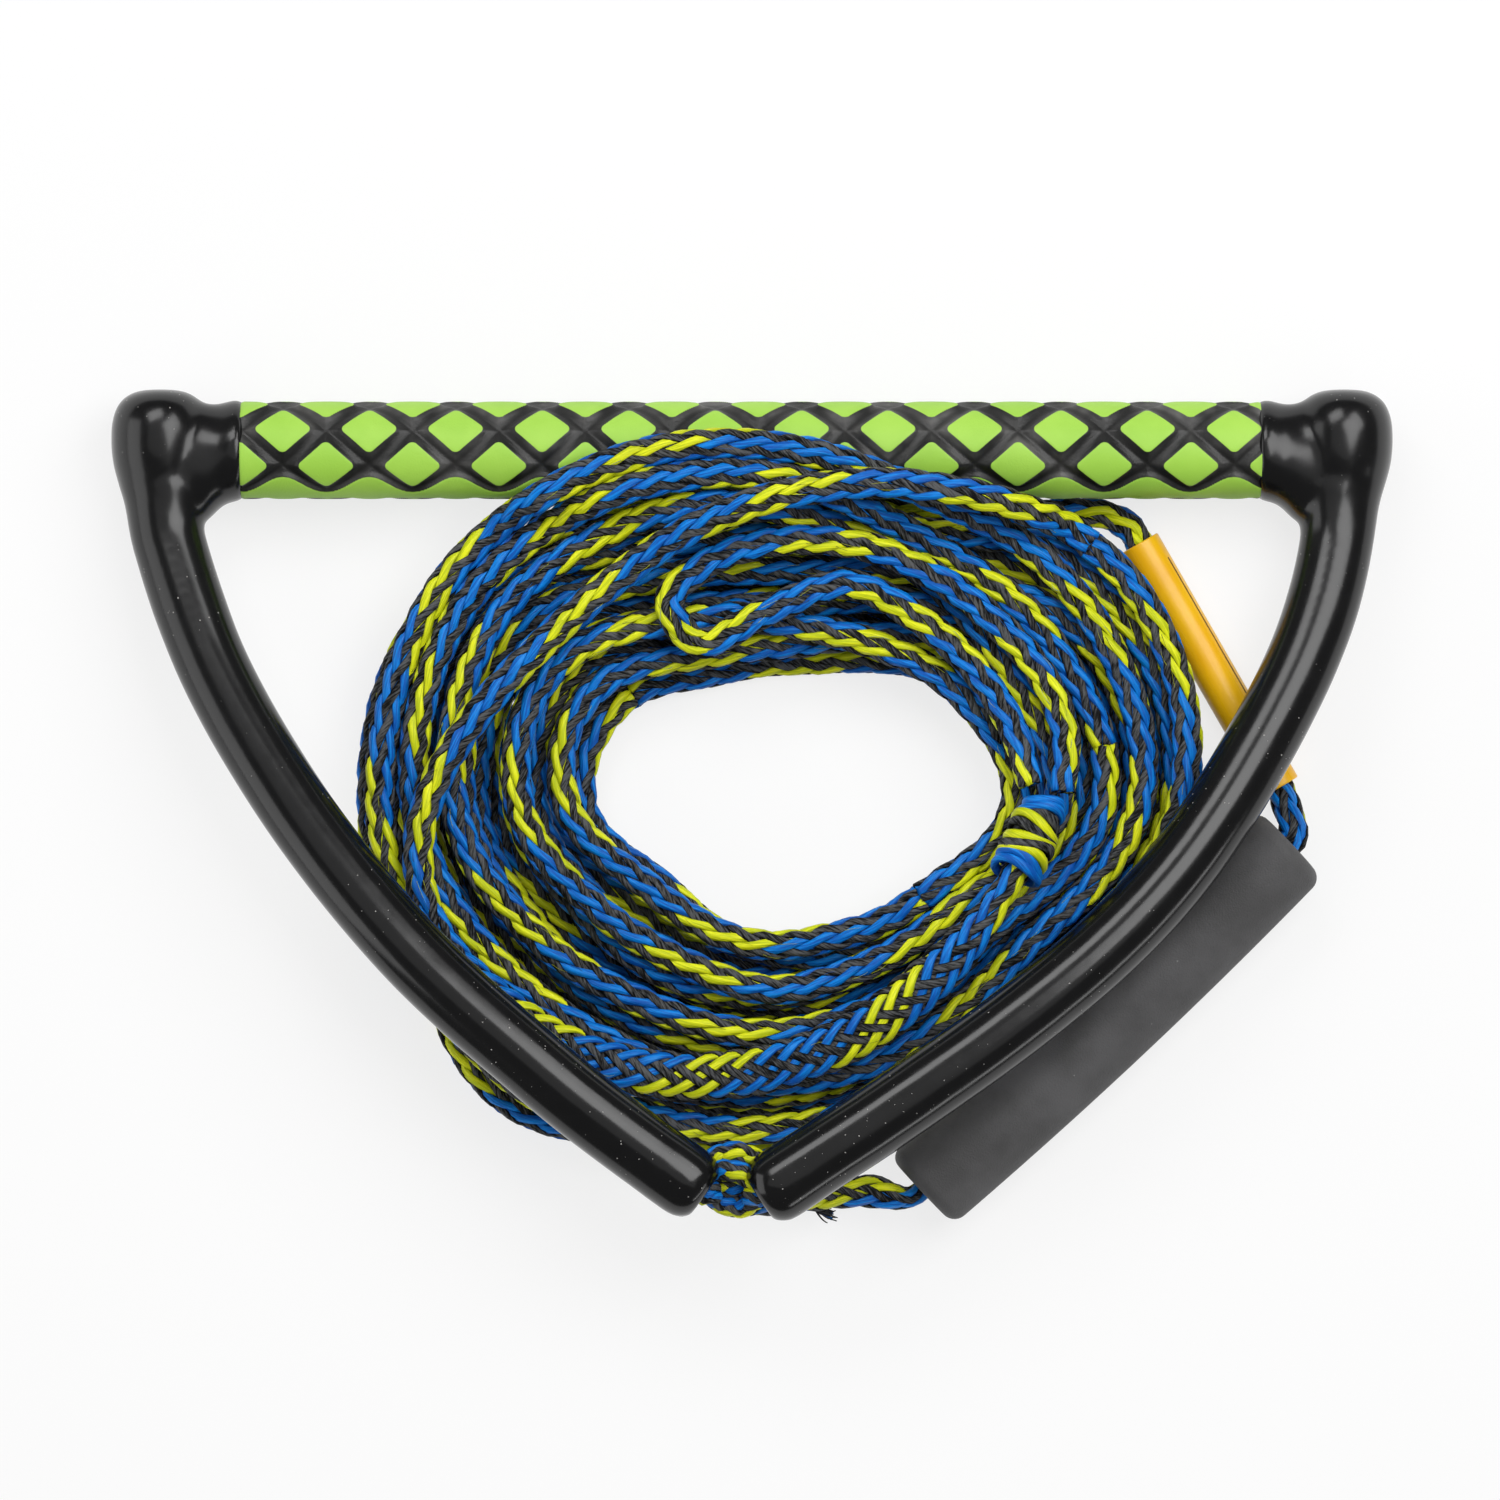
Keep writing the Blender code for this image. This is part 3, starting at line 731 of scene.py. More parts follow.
@dataclass(frozen=True)
class DipFinish:
    """Glossy black dipped vinyl with faint waves, a wiped film and dust."""

    colour: Point = (0.0026, 0.0026, 0.0028)
    dust: Point = (0.40, 0.39, 0.37)
    film: float = 2.2
    tip_rough: float = 0.16
    boot_rough: float = 0.21

    def make(self, dust: bpy.types.NodeTree) -> bpy.types.Material:
        """Make the material.

        Args:
            dust: group that draws specks.

        Returns:
            The material.
        """
        made, graph, shader = new_material("dipped_vinyl")
        where = graph.place()
        split = graph.node("ShaderNodeSeparateXYZ")
        graph.feed(split.inputs[0], where)
        specks = graph.group(dust, Scale=760.0, Share=0.6, Size=0.17).outputs["Specks"]
        film = graph.noise(where, 150.0, 4.0, 0.6)
        black = graph.mix(film, self.colour, tuple(c * self.film for c in self.colour))
        graph.feed(shader.inputs["Base Color"], graph.mix(specks, black, self.dust))
        rough = graph.band(split.outputs[1], -0.04, 0.10, self.tip_rough, self.boot_rough)
        rough = graph.math("ADD", rough, graph.band(film, 0.35, 0.75, 0.0, 0.03))
        graph.feed(shader.inputs["Roughness"], graph.math("ADD", rough, graph.math("MULTIPLY", specks, 0.5)))
        wave = graph.noise(where, 95.0, 1.0)
        wave = graph.math("ADD", wave, graph.math("MULTIPLY", graph.noise(where, 900.0), 0.05))
        graph.feed(shader.inputs["Normal"], graph.bump(wave, 0.10, 0.6 * MM))
        return made


@dataclass(frozen=True)
class GripFinish:
    """Two-colour foam: green on the raised pads, black in the channels, with a patchy painted grey sheen on
    the black that fades into painted shade towards the channels' middles.
    """

    green: Point = (0.395, 0.70, 0.082)
    shade: Point = (0.345, 0.645, 0.064)
    black: Point = (0.007, 0.007, 0.0066)
    # painted sheen: pale grey drawn in patches on the black channels
    painted_sheen_grey: Point = (0.140, 0.137, 0.131)

    def make(self, foam: bpy.types.NodeTree, pads: "PadPattern") -> bpy.types.Material:
        """Make the material.

        Args:
            foam: group that draws foam cells.
            pads: layout of the pads on the sleeve.

        Returns:
            The material.
        """
        made, graph, shader = new_material("grip_foam")
        group = graph.group(foam, Scale=2300.0)
        pits, tone = group.outputs["Pits"], group.outputs["Tone"]
        pad, channel = pads.shade(graph)
        green = graph.mix(graph.band(tone, 0.3, 0.7), self.shade, self.green)
        # painted sheen and shade: share of pale grey, patchy, strongest by the pads' edges and falling off
        # towards the deeper channel middles
        dull = graph.math("MULTIPLY", graph.band(tone, 0.4, 0.75), graph.band(channel, 0.1, 0.9, 1.0, 0.3))
        black = graph.mix(dull, self.black, self.painted_sheen_grey)
        graph.feed(shader.inputs["Base Color"], graph.mix(pad, black, green))
        graph.feed(shader.inputs["Roughness"], graph.band(pad, 0.0, 1.0, 0.42, 0.55))
        graph.feed(shader.inputs["Normal"], graph.bump(pits, 0.5, 0.22 * MM))
        return made


@dataclass(frozen=True)
class FloatFinish:
    """Matt charcoal foam with a fine skin."""

    colour: Point = (0.078, 0.077, 0.078)
    pale: Point = (0.118, 0.117, 0.120)
    speck: Point = (0.3, 0.3, 0.3)
    shine: float = 0.2

    def make(self, foam: bpy.types.NodeTree, dust: bpy.types.NodeTree) -> bpy.types.Material:
        """Make the material.

        Args:
            foam: group that draws foam cells.
            dust: group that draws specks.

        Returns:
            The material.
        """
        made, graph, shader = new_material("float_foam")
        group = graph.group(foam, Scale=1900.0)
        pits, tone = group.outputs["Pits"], group.outputs["Tone"]
        specks = graph.group(dust, Scale=260.0, Share=0.3, Size=0.09).outputs["Specks"]
        base = graph.mix(graph.band(tone, 0.3, 0.75), self.colour, self.pale)
        graph.feed(shader.inputs["Base Color"], graph.mix(specks, base, self.speck))
        graph.feed(shader.inputs["Roughness"], graph.band(tone, 0.2, 0.8, 0.52, 0.66))
        shader.inputs["Specular IOR Level"].default_value = self.shine
        graph.feed(shader.inputs["Normal"], graph.bump(pits, 0.6, 0.3 * MM))
        return made


@dataclass(frozen=True)
class GuardFinish:
    """Satin amber plastic tube with fine drawn lines along it."""

    colour: Point = (0.95, 0.53, 0.006)
    deep: Point = (0.90, 0.46, 0.005)
    speck: Point = (0.95, 0.85, 0.6)
    lines: Point = (6.0, 900.0, 900.0)

    def make(self, dust: bpy.types.NodeTree, along: Vector) -> bpy.types.Material:
        """Make the material.

        Args:
            dust: group that draws specks.
            along: direction of the tube.

        Returns:
            The material.
        """
        made, graph, shader = new_material("guard_plastic")
        mapping = graph.node("ShaderNodeMapping")
        graph.feed(mapping.inputs["Vector"], graph.place())
        mapping.inputs["Rotation"].default_value = (0.0, 0.0, -math.atan2(along.y, along.x))
        drawn = graph.noise(graph.stretch(mapping.outputs[0], self.lines), 1.0, 2.0)
        cloud = graph.noise(graph.place(), 60.0, 2.0)
        specks = graph.group(dust, Scale=380.0, Share=0.3, Size=0.08).outputs["Specks"]
        base = graph.mix(graph.band(cloud, 0.3, 0.7), self.deep, self.colour)
        graph.feed(shader.inputs["Base Color"], graph.mix(specks, base, self.speck))
        graph.feed(shader.inputs["Roughness"], graph.band(drawn, 0.2, 0.8, 0.26, 0.38))
        graph.feed(shader.inputs["Normal"], graph.bump(drawn, 0.15, 0.1 * MM))
        return made


@dataclass(frozen=True)
class SeamFinish:
    """Dark line of a cut edge in the tube."""

    dark: Point = (0.03, 0.010, 0.002)
    light: Point = (0.12, 0.045, 0.004)

    def make(self) -> bpy.types.Material:
        """Make the material.

        Returns:
            The material.
        """
        made, graph, shader = new_material("cut_edge")
        grime = graph.noise(graph.place(), 700.0, 3.0)
        graph.feed(shader.inputs["Base Color"], graph.mix(grime, self.dark, self.light))
        graph.feed(shader.inputs["Roughness"], graph.band(grime, 0.3, 0.7, 0.5, 0.75))
        return made


@dataclass(frozen=True)
class MetalFinish:
    """Drawn aluminium tube."""

    dark: Point = (0.68, 0.69, 0.71)
    light: Point = (0.78, 0.79, 0.8)
    lines: Point = (8.0, 1400.0, 1400.0)

    def make(self) -> bpy.types.Material:
        """Make the material.

        Returns:
            The material.
        """
        made, graph, shader = new_material("drawn_aluminium")
        drawn = graph.noise(graph.stretch(graph.place(), self.lines), 1.0, 2.0)
        graph.feed(shader.inputs["Base Color"], graph.mix(drawn, self.dark, self.light))
        shader.inputs["Metallic"].default_value = 1.0
        graph.feed(shader.inputs["Roughness"], graph.band(drawn, 0.2, 0.8, 0.28, 0.42))
        return made


@dataclass(frozen=True)
class PlugFinish:
    """Moulded black plastic."""

    dark: Point = (0.02, 0.02, 0.02)
    light: Point = (0.035, 0.035, 0.035)
    speck: Point = (0.2, 0.2, 0.2)

    def make(self, dust: bpy.types.NodeTree) -> bpy.types.Material:
        """Make the material.

        Args:
            dust: group that draws specks.

        Returns:
            The material.
        """
        made, graph, shader = new_material("plug_plastic")
        specks = graph.group(dust, Scale=300.0, Share=0.1, Size=0.08).outputs["Specks"]
        base = graph.mix(graph.noise(graph.place(), 400.0), self.dark, self.light)
        graph.feed(shader.inputs["Base Color"], graph.mix(specks, base, self.speck))
        cloud = graph.noise(graph.place(), 250.0)
        graph.feed(shader.inputs["Roughness"], graph.band(cloud, 0.3, 0.7, 0.4, 0.6))
        return made


# Pieces


@dataclass(frozen=True)
class PadPattern:
    """Diamond pads round the grip: rows of cells, each row half a cell further on."""

    axis_y: float = 104.6
    axis_z: float = 16.1
    pitch: float = 25.66
    rows: int = 8
    first_x: float = -139.1
    first_angle: float = -24.7
    half: float = 0.342
    corner: float = 0.10
    band_start: float = 48.0
    band_swing: float = 13.0
    band_end: float = 80.0

    @property
    def row_angle(self) -> float:
        """Degrees from one row of cells to the next."""
        return 360.0 / self.rows

    def cell(self, x: np.ndarray, angle: np.ndarray) -> tuple[np.ndarray, np.ndarray]:
        """Where points lie in their cells.

        Args:
            x: places along the bar.
            angle: places round the bar, in degrees from the top.

        Returns:
            Distance from the pad's edge and from the cell's middle, in cells.
        """
        a = (x - self.first_x) / self.pitch
        b = (angle - self.first_angle) / self.row_angle
        p = a + b / 2
        q = a - b / 2
        p = np.abs(p - np.round(p))
        q = np.abs(q - np.round(q))
        inner = self.half - self.corner
        edge = np.hypot(np.maximum(p - inner, 0.0), np.maximum(q - inner, 0.0)) - self.corner
        wave = self.band_start - self.band_swing * np.cos(2 * np.pi * a)
        strip = np.maximum(wave - angle, angle - self.band_end) / (2 * self.row_angle)
        return np.minimum(edge, strip), np.maximum(p, q)

    def shade(self, graph: Graph) -> tuple[Socket, Socket]:
        """Draw the pads in a material.

        Args:
            graph: graph of the material.

        Returns:
            Mask of the pads, and share of the way down a channel.
        """
        split = graph.node("ShaderNodeSeparateXYZ")
        graph.feed(split.inputs[0], graph.place())
        up = graph.math("SUBTRACT", split.outputs[2], self.axis_z * MM)
        out = graph.math("SUBTRACT", self.axis_y * MM, split.outputs[1])
        angle = graph.math("MULTIPLY", graph.math("ARCTAN2", out, up), 180.0 / math.pi)
        row = graph.math("DIVIDE", graph.math("SUBTRACT", angle, self.first_angle), 2 * self.row_angle)
        column = graph.math("SUBTRACT", split.outputs[0], self.first_x * MM)
        column = graph.math("DIVIDE", column, self.pitch * MM)
        away = []
        for operation in ("ADD", "SUBTRACT"):
            place = graph.math(operation, column, row)
            away.append(graph.math("ABSOLUTE", graph.math("SUBTRACT", place, graph.math("ROUND", place))))
        inner = self.half - self.corner
        legs = []
        for distance in away:
            past = graph.math("MAXIMUM", graph.math("SUBTRACT", distance, inner), 0.0)
            legs.append(graph.math("POWER", past, 2.0))
        far = graph.math("SQRT", graph.math("ADD", legs[0], legs[1]))
        edge = graph.math("SUBTRACT", far, self.corner)
        wave = graph.math("COSINE", graph.math("MULTIPLY", column, 2 * math.pi))
        wave = graph.math("SUBTRACT", self.band_start, graph.math("MULTIPLY", wave, self.band_swing))
        before = graph.math("SUBTRACT", wave, angle)
        after = graph.math("SUBTRACT", angle, self.band_end)
        strip = graph.math("DIVIDE", graph.math("MAXIMUM", before, after), 2 * self.row_angle)
        edge = graph.math("MINIMUM", edge, strip)
        down = graph.math("MAXIMUM", away[0], away[1])
        return graph.band(edge, -0.006, 0.006, 1.0, 0.0), graph.band(down, self.half, 0.5)


@dataclass
class GripSleeve:
    """Foam sleeve on the bar, with raised pads and channels pressed between them.

    depth is a channel's, and crown is how far the middle of a pad rises. wall is the width of a channel's
    side, in cells, and shallow the share of the depth that it reaches there.
    """

    start: float = -152.1
    end: float = 151.8
    radius: float = 14.5
    bore: float = 9.95
    depth: float = 1.55
    crown: float = 0.14
    wall: float = 0.05
    shallow: float = 0.3
    rim: float = 1.6
    rim_fall: float = 0.35
    step: float = 0.56
    sides: int = 164
    pads: PadPattern = PadPattern()

    def build(self) -> bpy.types.Object:
        """Turn the sleeve and press its channels in.

        Returns:
            The sleeve.
        """
        bm = bmesh.new()
        long = self.end - self.start
        outer = [(at, self.radius) for at in np.linspace(self.start, self.end, int(long / self.step))]
        profile = [(self.start, self.bore), (self.start, self.radius - self.rim)] + outer
        profile += [(self.end, self.radius - self.rim), (self.end, self.bore)]
        spin_profile(bm, profile, self.sides)
        bmesh.ops.translate(bm, vec=(0.0, self.pads.axis_y, self.pads.axis_z), verts=bm.verts)
        made = object_from_bmesh("grip_foam_sleeve", bm)
        self.press(made.data)
        return made

    def press(self, mesh: bpy.types.Mesh) -> None:
        """Move the outer skin in or out by the pads' relief.

        Args:
            mesh: mesh of the turned sleeve, in metres.
        """
        co = np.empty(len(mesh.vertices) * 3, np.float32)
        mesh.vertices.foreach_get("co", co)
        at = co.reshape(-1, 3) / MM
        up = at[:, 2] - self.pads.axis_z
        out = self.pads.axis_y - at[:, 1]
        radius = np.hypot(up, out)
        edge, middle = self.pads.cell(at[:, 0], np.degrees(np.arctan2(out, up)))
        share = np.clip((middle - self.pads.half) / (0.5 - self.pads.half), 0.0, 1.0)
        relief = -self.depth * ease(edge / self.wall) * (self.shallow + (1.0 - self.shallow) * share)
        relief += np.where(edge < 0, self.crown * np.clip(-edge / self.pads.half, 0.0, 1.0), 0.0)
        inset = np.minimum(at[:, 0] - self.start, self.end - at[:, 0])
        relief -= self.rim_fall * (1.0 - ease(inset))
        skin = radius > self.radius - 0.2
        scale = np.where(skin, (radius + relief) / radius, 1.0)
        at[:, 1] = self.pads.axis_y - out * scale
        at[:, 2] = self.pads.axis_z + up * scale
        mesh.vertices.foreach_set("co", (at * MM).astype(np.float32).ravel())
        mesh.update()


@dataclass
class LegCover:
    """Dipped cover of one leg, from the boot on the bar to the tip.

    A row of bulb is a distance from the bar's axis, away from the leg, and a radius. A row of collar is a
    distance from the grip's end, and the reach away from the leg, towards the leg and up. shrink is what
    smoothing takes off the skin. boot_run and tip_run are the ends of the leg that keep their own shape.
    """

    name: str
    boot_x: float
    face_x: float
    route: Sequence[tuple[float, float]]
    bar_y: float = 104.6
    bar_z: float = 16.1
    tip_y: float = -116.0
    rise: float = 36.0
    radius: float = 10.7
    mouth: float = 4.7
    voxel: float = 0.75
    rounds: int = 24
    shrink: float = 0.3
    boot_lean: float = 1.7
    boot_thin: float = 0.115
    flare: float = 2.6
    flare_run: float = 17.0
    boot_run: float = 34.0
    boot_blend: float = 18.0
    tip_run: float = 9.0
    tip_blend: float = 10.0
    sides: int = 72
    bulb: Sequence[tuple[float, float]] = (
        (18.1, 3.0), (17.8, 6.6), (16.7, 10.2), (14.2, 13.6), (9.6, 15.8), (3.2, 16.4), (-4.2, 15.7),
        (-9.6, 14.1),
    )
    collar: Sequence[tuple[float, float, float, float]] = (
        (-1.5, 14.6, 14.6, 14.6), (0.8, 15.2, 15.3, 15.2), (3.2, 14.7, 15.6, 14.6),
        (6.4, 13.8, 17.8, 13.9), (9.4, 13.9, 20.8, 14.0), (12.6, 14.6, 22.0, 14.0),
        (17.0, 14.8, 20.6, 13.8), (21.0, 12.0, 14.0, 11.5),
    )

    def height(self, y: np.ndarray) -> np.ndarray:
        """Height of the leg's middle at places from the bar to the tip."""
        share = np.clip((self.bar_y - y) / (self.bar_y - self.tip_y), 0.0, 1.0)
        return self.bar_z + self.rise * np.sin(np.pi / 2 * share) ** 1.25

    def line(self, count: int) -> np.ndarray:
        """Middle of the leg, from the bar to the tip, as evenly spaced points."""
        plan = smooth_route([(self.boot_x, self.bar_y - 12.0)] + list(self.route), count)
        return np.column_stack([plan, self.height(plan[:, 1])])

    def build(self) -> bpy.types.Object:
        """Sweep boot, leg and collar, and melt them into one skin.

        Returns:
            The cover.
        """
        bm = bmesh.new()
        self.sweep_leg(bm)
        self.sweep_collar(bm)
        made = object_from_bmesh(self.name, bm)
        melt = made.modifiers.new("melt", "REMESH")
        melt.mode = "VOXEL"
        melt.voxel_size = self.voxel * MM
        depsgraph = bpy.context.evaluated_depsgraph_get()
        skin = bpy.data.meshes.new_from_object(made.evaluated_get(depsgraph))
        made.modifiers.clear()
        made.data = skin
        soft = bmesh.new()
        soft.from_mesh(skin)
        for _ in range(self.rounds):
            bmesh.ops.smooth_vert(
                soft, verts=soft.verts, factor=0.5, use_axis_x=True, use_axis_y=True, use_axis_z=True,
            )
        self.true_up(soft)
        soft.to_mesh(skin)
        soft.free()
        skin.shade_smooth()
        return made

    def true_up(self, bm: bmesh.types.BMesh) -> None:
        """Set the skin of the leg, between boot and tip, at one distance from the leg's middle.

        Args:
            bm: melted cover, in metres.
        """
        line = even_steps(self.line(900), 0.4)
        along = line_frames(line)[0]
        run = run_of(line)
        share = ease((run - self.boot_run) / self.boot_blend)
        share = share * ease((run[-1] - self.tip_run - run) / self.tip_blend)
        tree = KDTree(len(line))
        for i, point in enumerate(line):
            tree.insert(point, i)
        tree.balance()
        for corner in bm.verts:
            at = corner.co / MM
            _, i, away = tree.find(at)
            if share[i] > 0.0 and away > self.radius / 2:
                way = Vector(along[i])
                middle = Vector(line[i])
                middle += way * (at - middle).dot(way)
                true = middle + (at - middle).normalized() * self.radius
                corner.co = at.lerp(true, share[i]) * MM

    def sweep_leg(self, bm: bmesh.types.BMesh) -> None:
        """Sweep the boot's bulb and the leg, with the mouth of its bore at the tip.

        Args:
            bm: bmesh that gets the skin.
        """
        places = []
        sign = math.copysign(1.0, self.boot_x)
        for y, radius in smooth_route(self.bulb, 34):
            size = radius + self.shrink
            lean = float(ease((y + 16.0) / 12.0))
            centre = (self.boot_x + sign * self.boot_lean * lean, self.bar_y + y, self.bar_z)
            thin = size * (1.0 - self.boot_thin * lean)
            places.append(ring_place(centre, Vector((0, -1, 0)), thin, size))
        line = self.line(180)
        along = line_frames(line)[0]
        run = run_of(line)
        for centre, way, at in zip(line[:-5], along, run):
            flare = self.flare * max(0.0, 1.0 - at / self.flare_run) ** 2
            radius = self.radius + self.shrink + flare
            places.append(ring_place(centre, Vector(way), radius, radius))
        end = Vector(line[-1])
        way = Vector(along[-1])
        tip = [(-5.6, 11.0), (-3.0, 10.8), (-0.6, 9.9), (1.1, 8.5), (2.1, 6.8), (2.1, 5.6), (1.0, self.mouth)]
        tip += [(-1.4, self.mouth - 0.4), (-5.4, self.mouth - 0.6)]
        places += [ring_place(end + way * at, way, r, r) for at, r in smooth_route(tip, 26)]
        sweep_rings(bm, places, self.sides)

    def sweep_collar(self, bm: bmesh.types.BMesh) -> None:
        """Sweep the collar on the bar with the web that runs into the leg.

        Args:
            bm: bmesh that gets the skin.
        """
        sign = math.copysign(1.0, self.boot_x)
        places = []
        for reach, top, bottom, high in smooth_route(self.collar, 30):
            centre = (self.face_x + sign * reach, self.bar_y + (top - bottom) / 2, self.bar_z)
            places.append(ring_place(centre, Vector((sign, 0, 0)), (top + bottom) / 2, high))
        sweep_rings(bm, places, self.sides)

    def rope_line(self, knot: Point) -> np.ndarray:
        """Middle of the rope in the cover, from the bar's cross hole into the bridle's knot.

        Args:
            knot: middle of the knot.

        Returns:
            Evenly spaced points.
        """
        start = np.array([[self.boot_x, self.bar_y + y, self.bar_z] for y in (9.8, -6.0)])
        middle = self.line(80)
        way = unit(middle[-1] - middle[-2])
        into = 4.0 * unit(np.array(knot) - middle[-1])
        tip = np.array([middle[-1] + way * 1.2, middle[-1] + way * 1.6 + into])
        return even_steps(np.concatenate([start, middle, tip]), 4.0)


@dataclass
class TurnedPiece:
    """Bored round piece on the line, such as the float or the sleeve."""

    name: str
    start: Point
    end: Point
    radius: float
    bore: float
    rim: float
    rings: int
    sides: int
    bow: float = 0.0

    def build(self) -> bpy.types.Object:
        """Turn the piece, bow it and lay it along its axis.

        Returns:
            The piece.
        """
        bm = bmesh.new()
        long = (Vector(self.end) - Vector(self.start)).length
        turns = [math.pi / 2 * k / 7 for k in range(8)]
        arc = [(self.rim * (1 - math.sin(t)), self.radius - self.rim * (1 - math.cos(t))) for t in turns]
        outer = [(at, self.radius) for at in np.linspace(self.rim, long - self.rim, self.rings)[1:-1]]
        lip = 0.25 * self.rim
        profile = [(lip, self.bore), (0.0, self.bore + lip)] + arc[::-1] + outer
        profile += [(long - at, r) for at, r in arc] + [(long, self.bore + lip), (long - lip, self.bore)]
        spin_profile(bm, profile, self.sides)
        for corner in bm.verts:
            share = corner.co.x / long
            corner.co.y += self.bow * 4.0 * share * (1.0 - share)
        lay_between(bm, self.start, self.end)
        return object_from_bmesh(self.name, bm)


@dataclass
class TubeSeam:
    """Straight cut in the wall of a tube that lies flat, seen as a thin line along it."""

    start: Point
    end: Point
    radius: float
    angle: float
    first: float
    last: float
    width: float = 0.5
    depth: float = 0.4
    sunk: float = 0.13
    rounding: float = 0.06

    def build(self) -> bpy.types.Object:
        """Lay a thin bar in the tube's skin.

        Returns:
            The line.
        """
        bm = bmesh.new()
        bmesh.ops.create_cube(bm, size=1.0)
        long = self.last - self.first
        bmesh.ops.scale(bm, vec=(long, self.width, self.depth), verts=bm.verts)
        middle = Matrix.Translation(((self.first + self.last) / 2, 0.0, self.radius - self.sunk))
        turn = Matrix.Rotation(math.radians(self.angle), 4, "X")
        bmesh.ops.transform(bm, matrix=turn @ middle, verts=bm.verts)
        bmesh.ops.bevel(
            bm, geom=bm.edges, offset=self.rounding, segments=2, profile=0.5, affect="EDGES",
            clamp_overlap=True, material=-1,
        )
        lay_between(bm, self.start, self.end)
        return object_from_bmesh("sleeve_seam", bm)


@dataclass
class Braid:
    """Hollow braid: coloured yarns one way and black the other, over two and under two.

    film_half and spun_half are half a yarn's width and thickness. crimp is how far a yarn rises and dips,
    and steep how quickly. roll and sway turn the braid about its line. drift, slack and uneven are how far a
    yarn strays round the rope, off the rope and in width.
    """

    yarns: Sequence[bpy.types.Material]
    lay: float = 75.0
    each_way: int = 8
    crimp: float = 0.55
    film_half: tuple[float, float] = (1.42, 0.86)
    spun_half: tuple[float, float] = (1.34, 0.82)
    steep: float = 1.35
    bias: float = 0.06
    roll: float = 0.85
    sway: float = 0.45
    sway_run: float = 83.0
    drift: float = 0.035
    slack: float = 0.06
    uneven: float = 0.06
    flattest: float = 0.4
    fibre_long: tuple[float, float] = (3.0, 6.5)
    fibre_high: tuple[float, float] = (0.5, 1.3)
    fibre_half: float = 0.075
    fibre_root: float = 0.35
    coloured: tuple[Yarn, ...] = (Yarn.BLUE,) * 5 + (Yarn.LIME,) * 3

    def weave(
        self, name: str, line: np.ndarray, wide: np.ndarray, high: np.ndarray, sides: int,
        lay: np.ndarray | None = None, turn: float = 0.0, fuzz: float = 0.0,
    ) -> bpy.types.Object:
        """Lay the braid along a line.

        Args:
            name: name of the piece.
            line: middle of the rope, in even steps.
            wide: half the rope's width at each point.
            high: half its height at each point.
            sides: corners of a yarn's section.
            lay: length of one full turn of a yarn at each point, where it isn't the braid's own.
            turn: turns already made at the start.
            fuzz: mean length of rope between loose fibres, or 0 for none.

        Returns:
            The rope.
        """
        mesh = StrandMesh()
        self.add_to(mesh, line, wide, high, sides, lay, turn)
        if fuzz:
            self.add_fuzz(mesh, line, wide, high, fuzz)
        return mesh.finish(name, self.yarns)

    def add_to(
        self, mesh: StrandMesh, line: np.ndarray, wide: np.ndarray, high: np.ndarray, sides: int,
        lay: np.ndarray | None = None, turn: float = 0.0,
    ) -> None:
        """Add the braid's yarns to a mesh, with a black filler inside them that stands in for the shade
        within the hollow braid.

        Args:
            mesh: mesh that gets the strands.
            line: middle of the rope, in even steps.
            wide: half the rope's width at each point.
            high: half its height at each point.
            sides: corners of a yarn's section.
            lay: length of one full turn of a yarn at each point, where it isn't the braid's own.
            turn: turns already made at the start.
        """
        _, side, up = line_frames(line)
        run = run_of(line)
        lays = np.full(len(line), self.lay) if lay is None else lay
        laps = turn + np.concatenate([[0.0], np.cumsum(np.diff(run) * 2.0 / (lays[1:] + lays[:-1]))])
        rng = np.random.default_rng(len(line))
        body = self.crimp + self.film_half[1]
        reach_w = wide - body
        reach_h = np.maximum(high - body, self.flattest)
        rolled = self.roll + self.sway * np.sin(run / self.sway_run + ANY_TURN * rng.random())
        for way in (1.0, -1.0):
            half_wide, half_thick = self.film_half if way > 0 else self.spun_half
            for k in range(self.each_way):
                around = way * laps + k / self.each_way
                lift = self.steep * np.cos(np.pi * (self.each_way * around - 0.25)) + self.bias
                lift = way * np.clip(lift, -1.0, 1.0)
                wander = np.sin(run / (9.0 + 4.0 * rng.random()) + ANY_TURN * rng.random())
                phase = 2 * np.pi * around + rolled + self.drift * wander
                cos, sin = np.cos(phase), np.sin(phase)
                out = unit(side * (cos * reach_h)[:, None] + up * (sin * reach_w)[:, None])
                centre = line + side * (cos * reach_w)[:, None] + up * (sin * reach_h)[:, None]
                centre = centre + out * (self.crimp * lift + self.slack * wander)[:, None]
                yarn = self.coloured[k % len(self.coloured)] if way > 0 else Yarn.BLACK
                swell = 1.0 + self.uneven * np.sin(run / 7.0 + ANY_TURN * rng.random())
                thick = np.full(len(line), half_thick)
                mesh.sweep(centre, out, half_wide * swell, thick, yarn, sides, rng.random() * 9.0)
        # painted shade: a black filler inside the hollow braid, seen through the gaps between yarns where
        # there is only shade
        mesh.sweep(line, up, reach_w - 0.2, reach_h - 0.1, Yarn.BLACK, 8, 0.0)

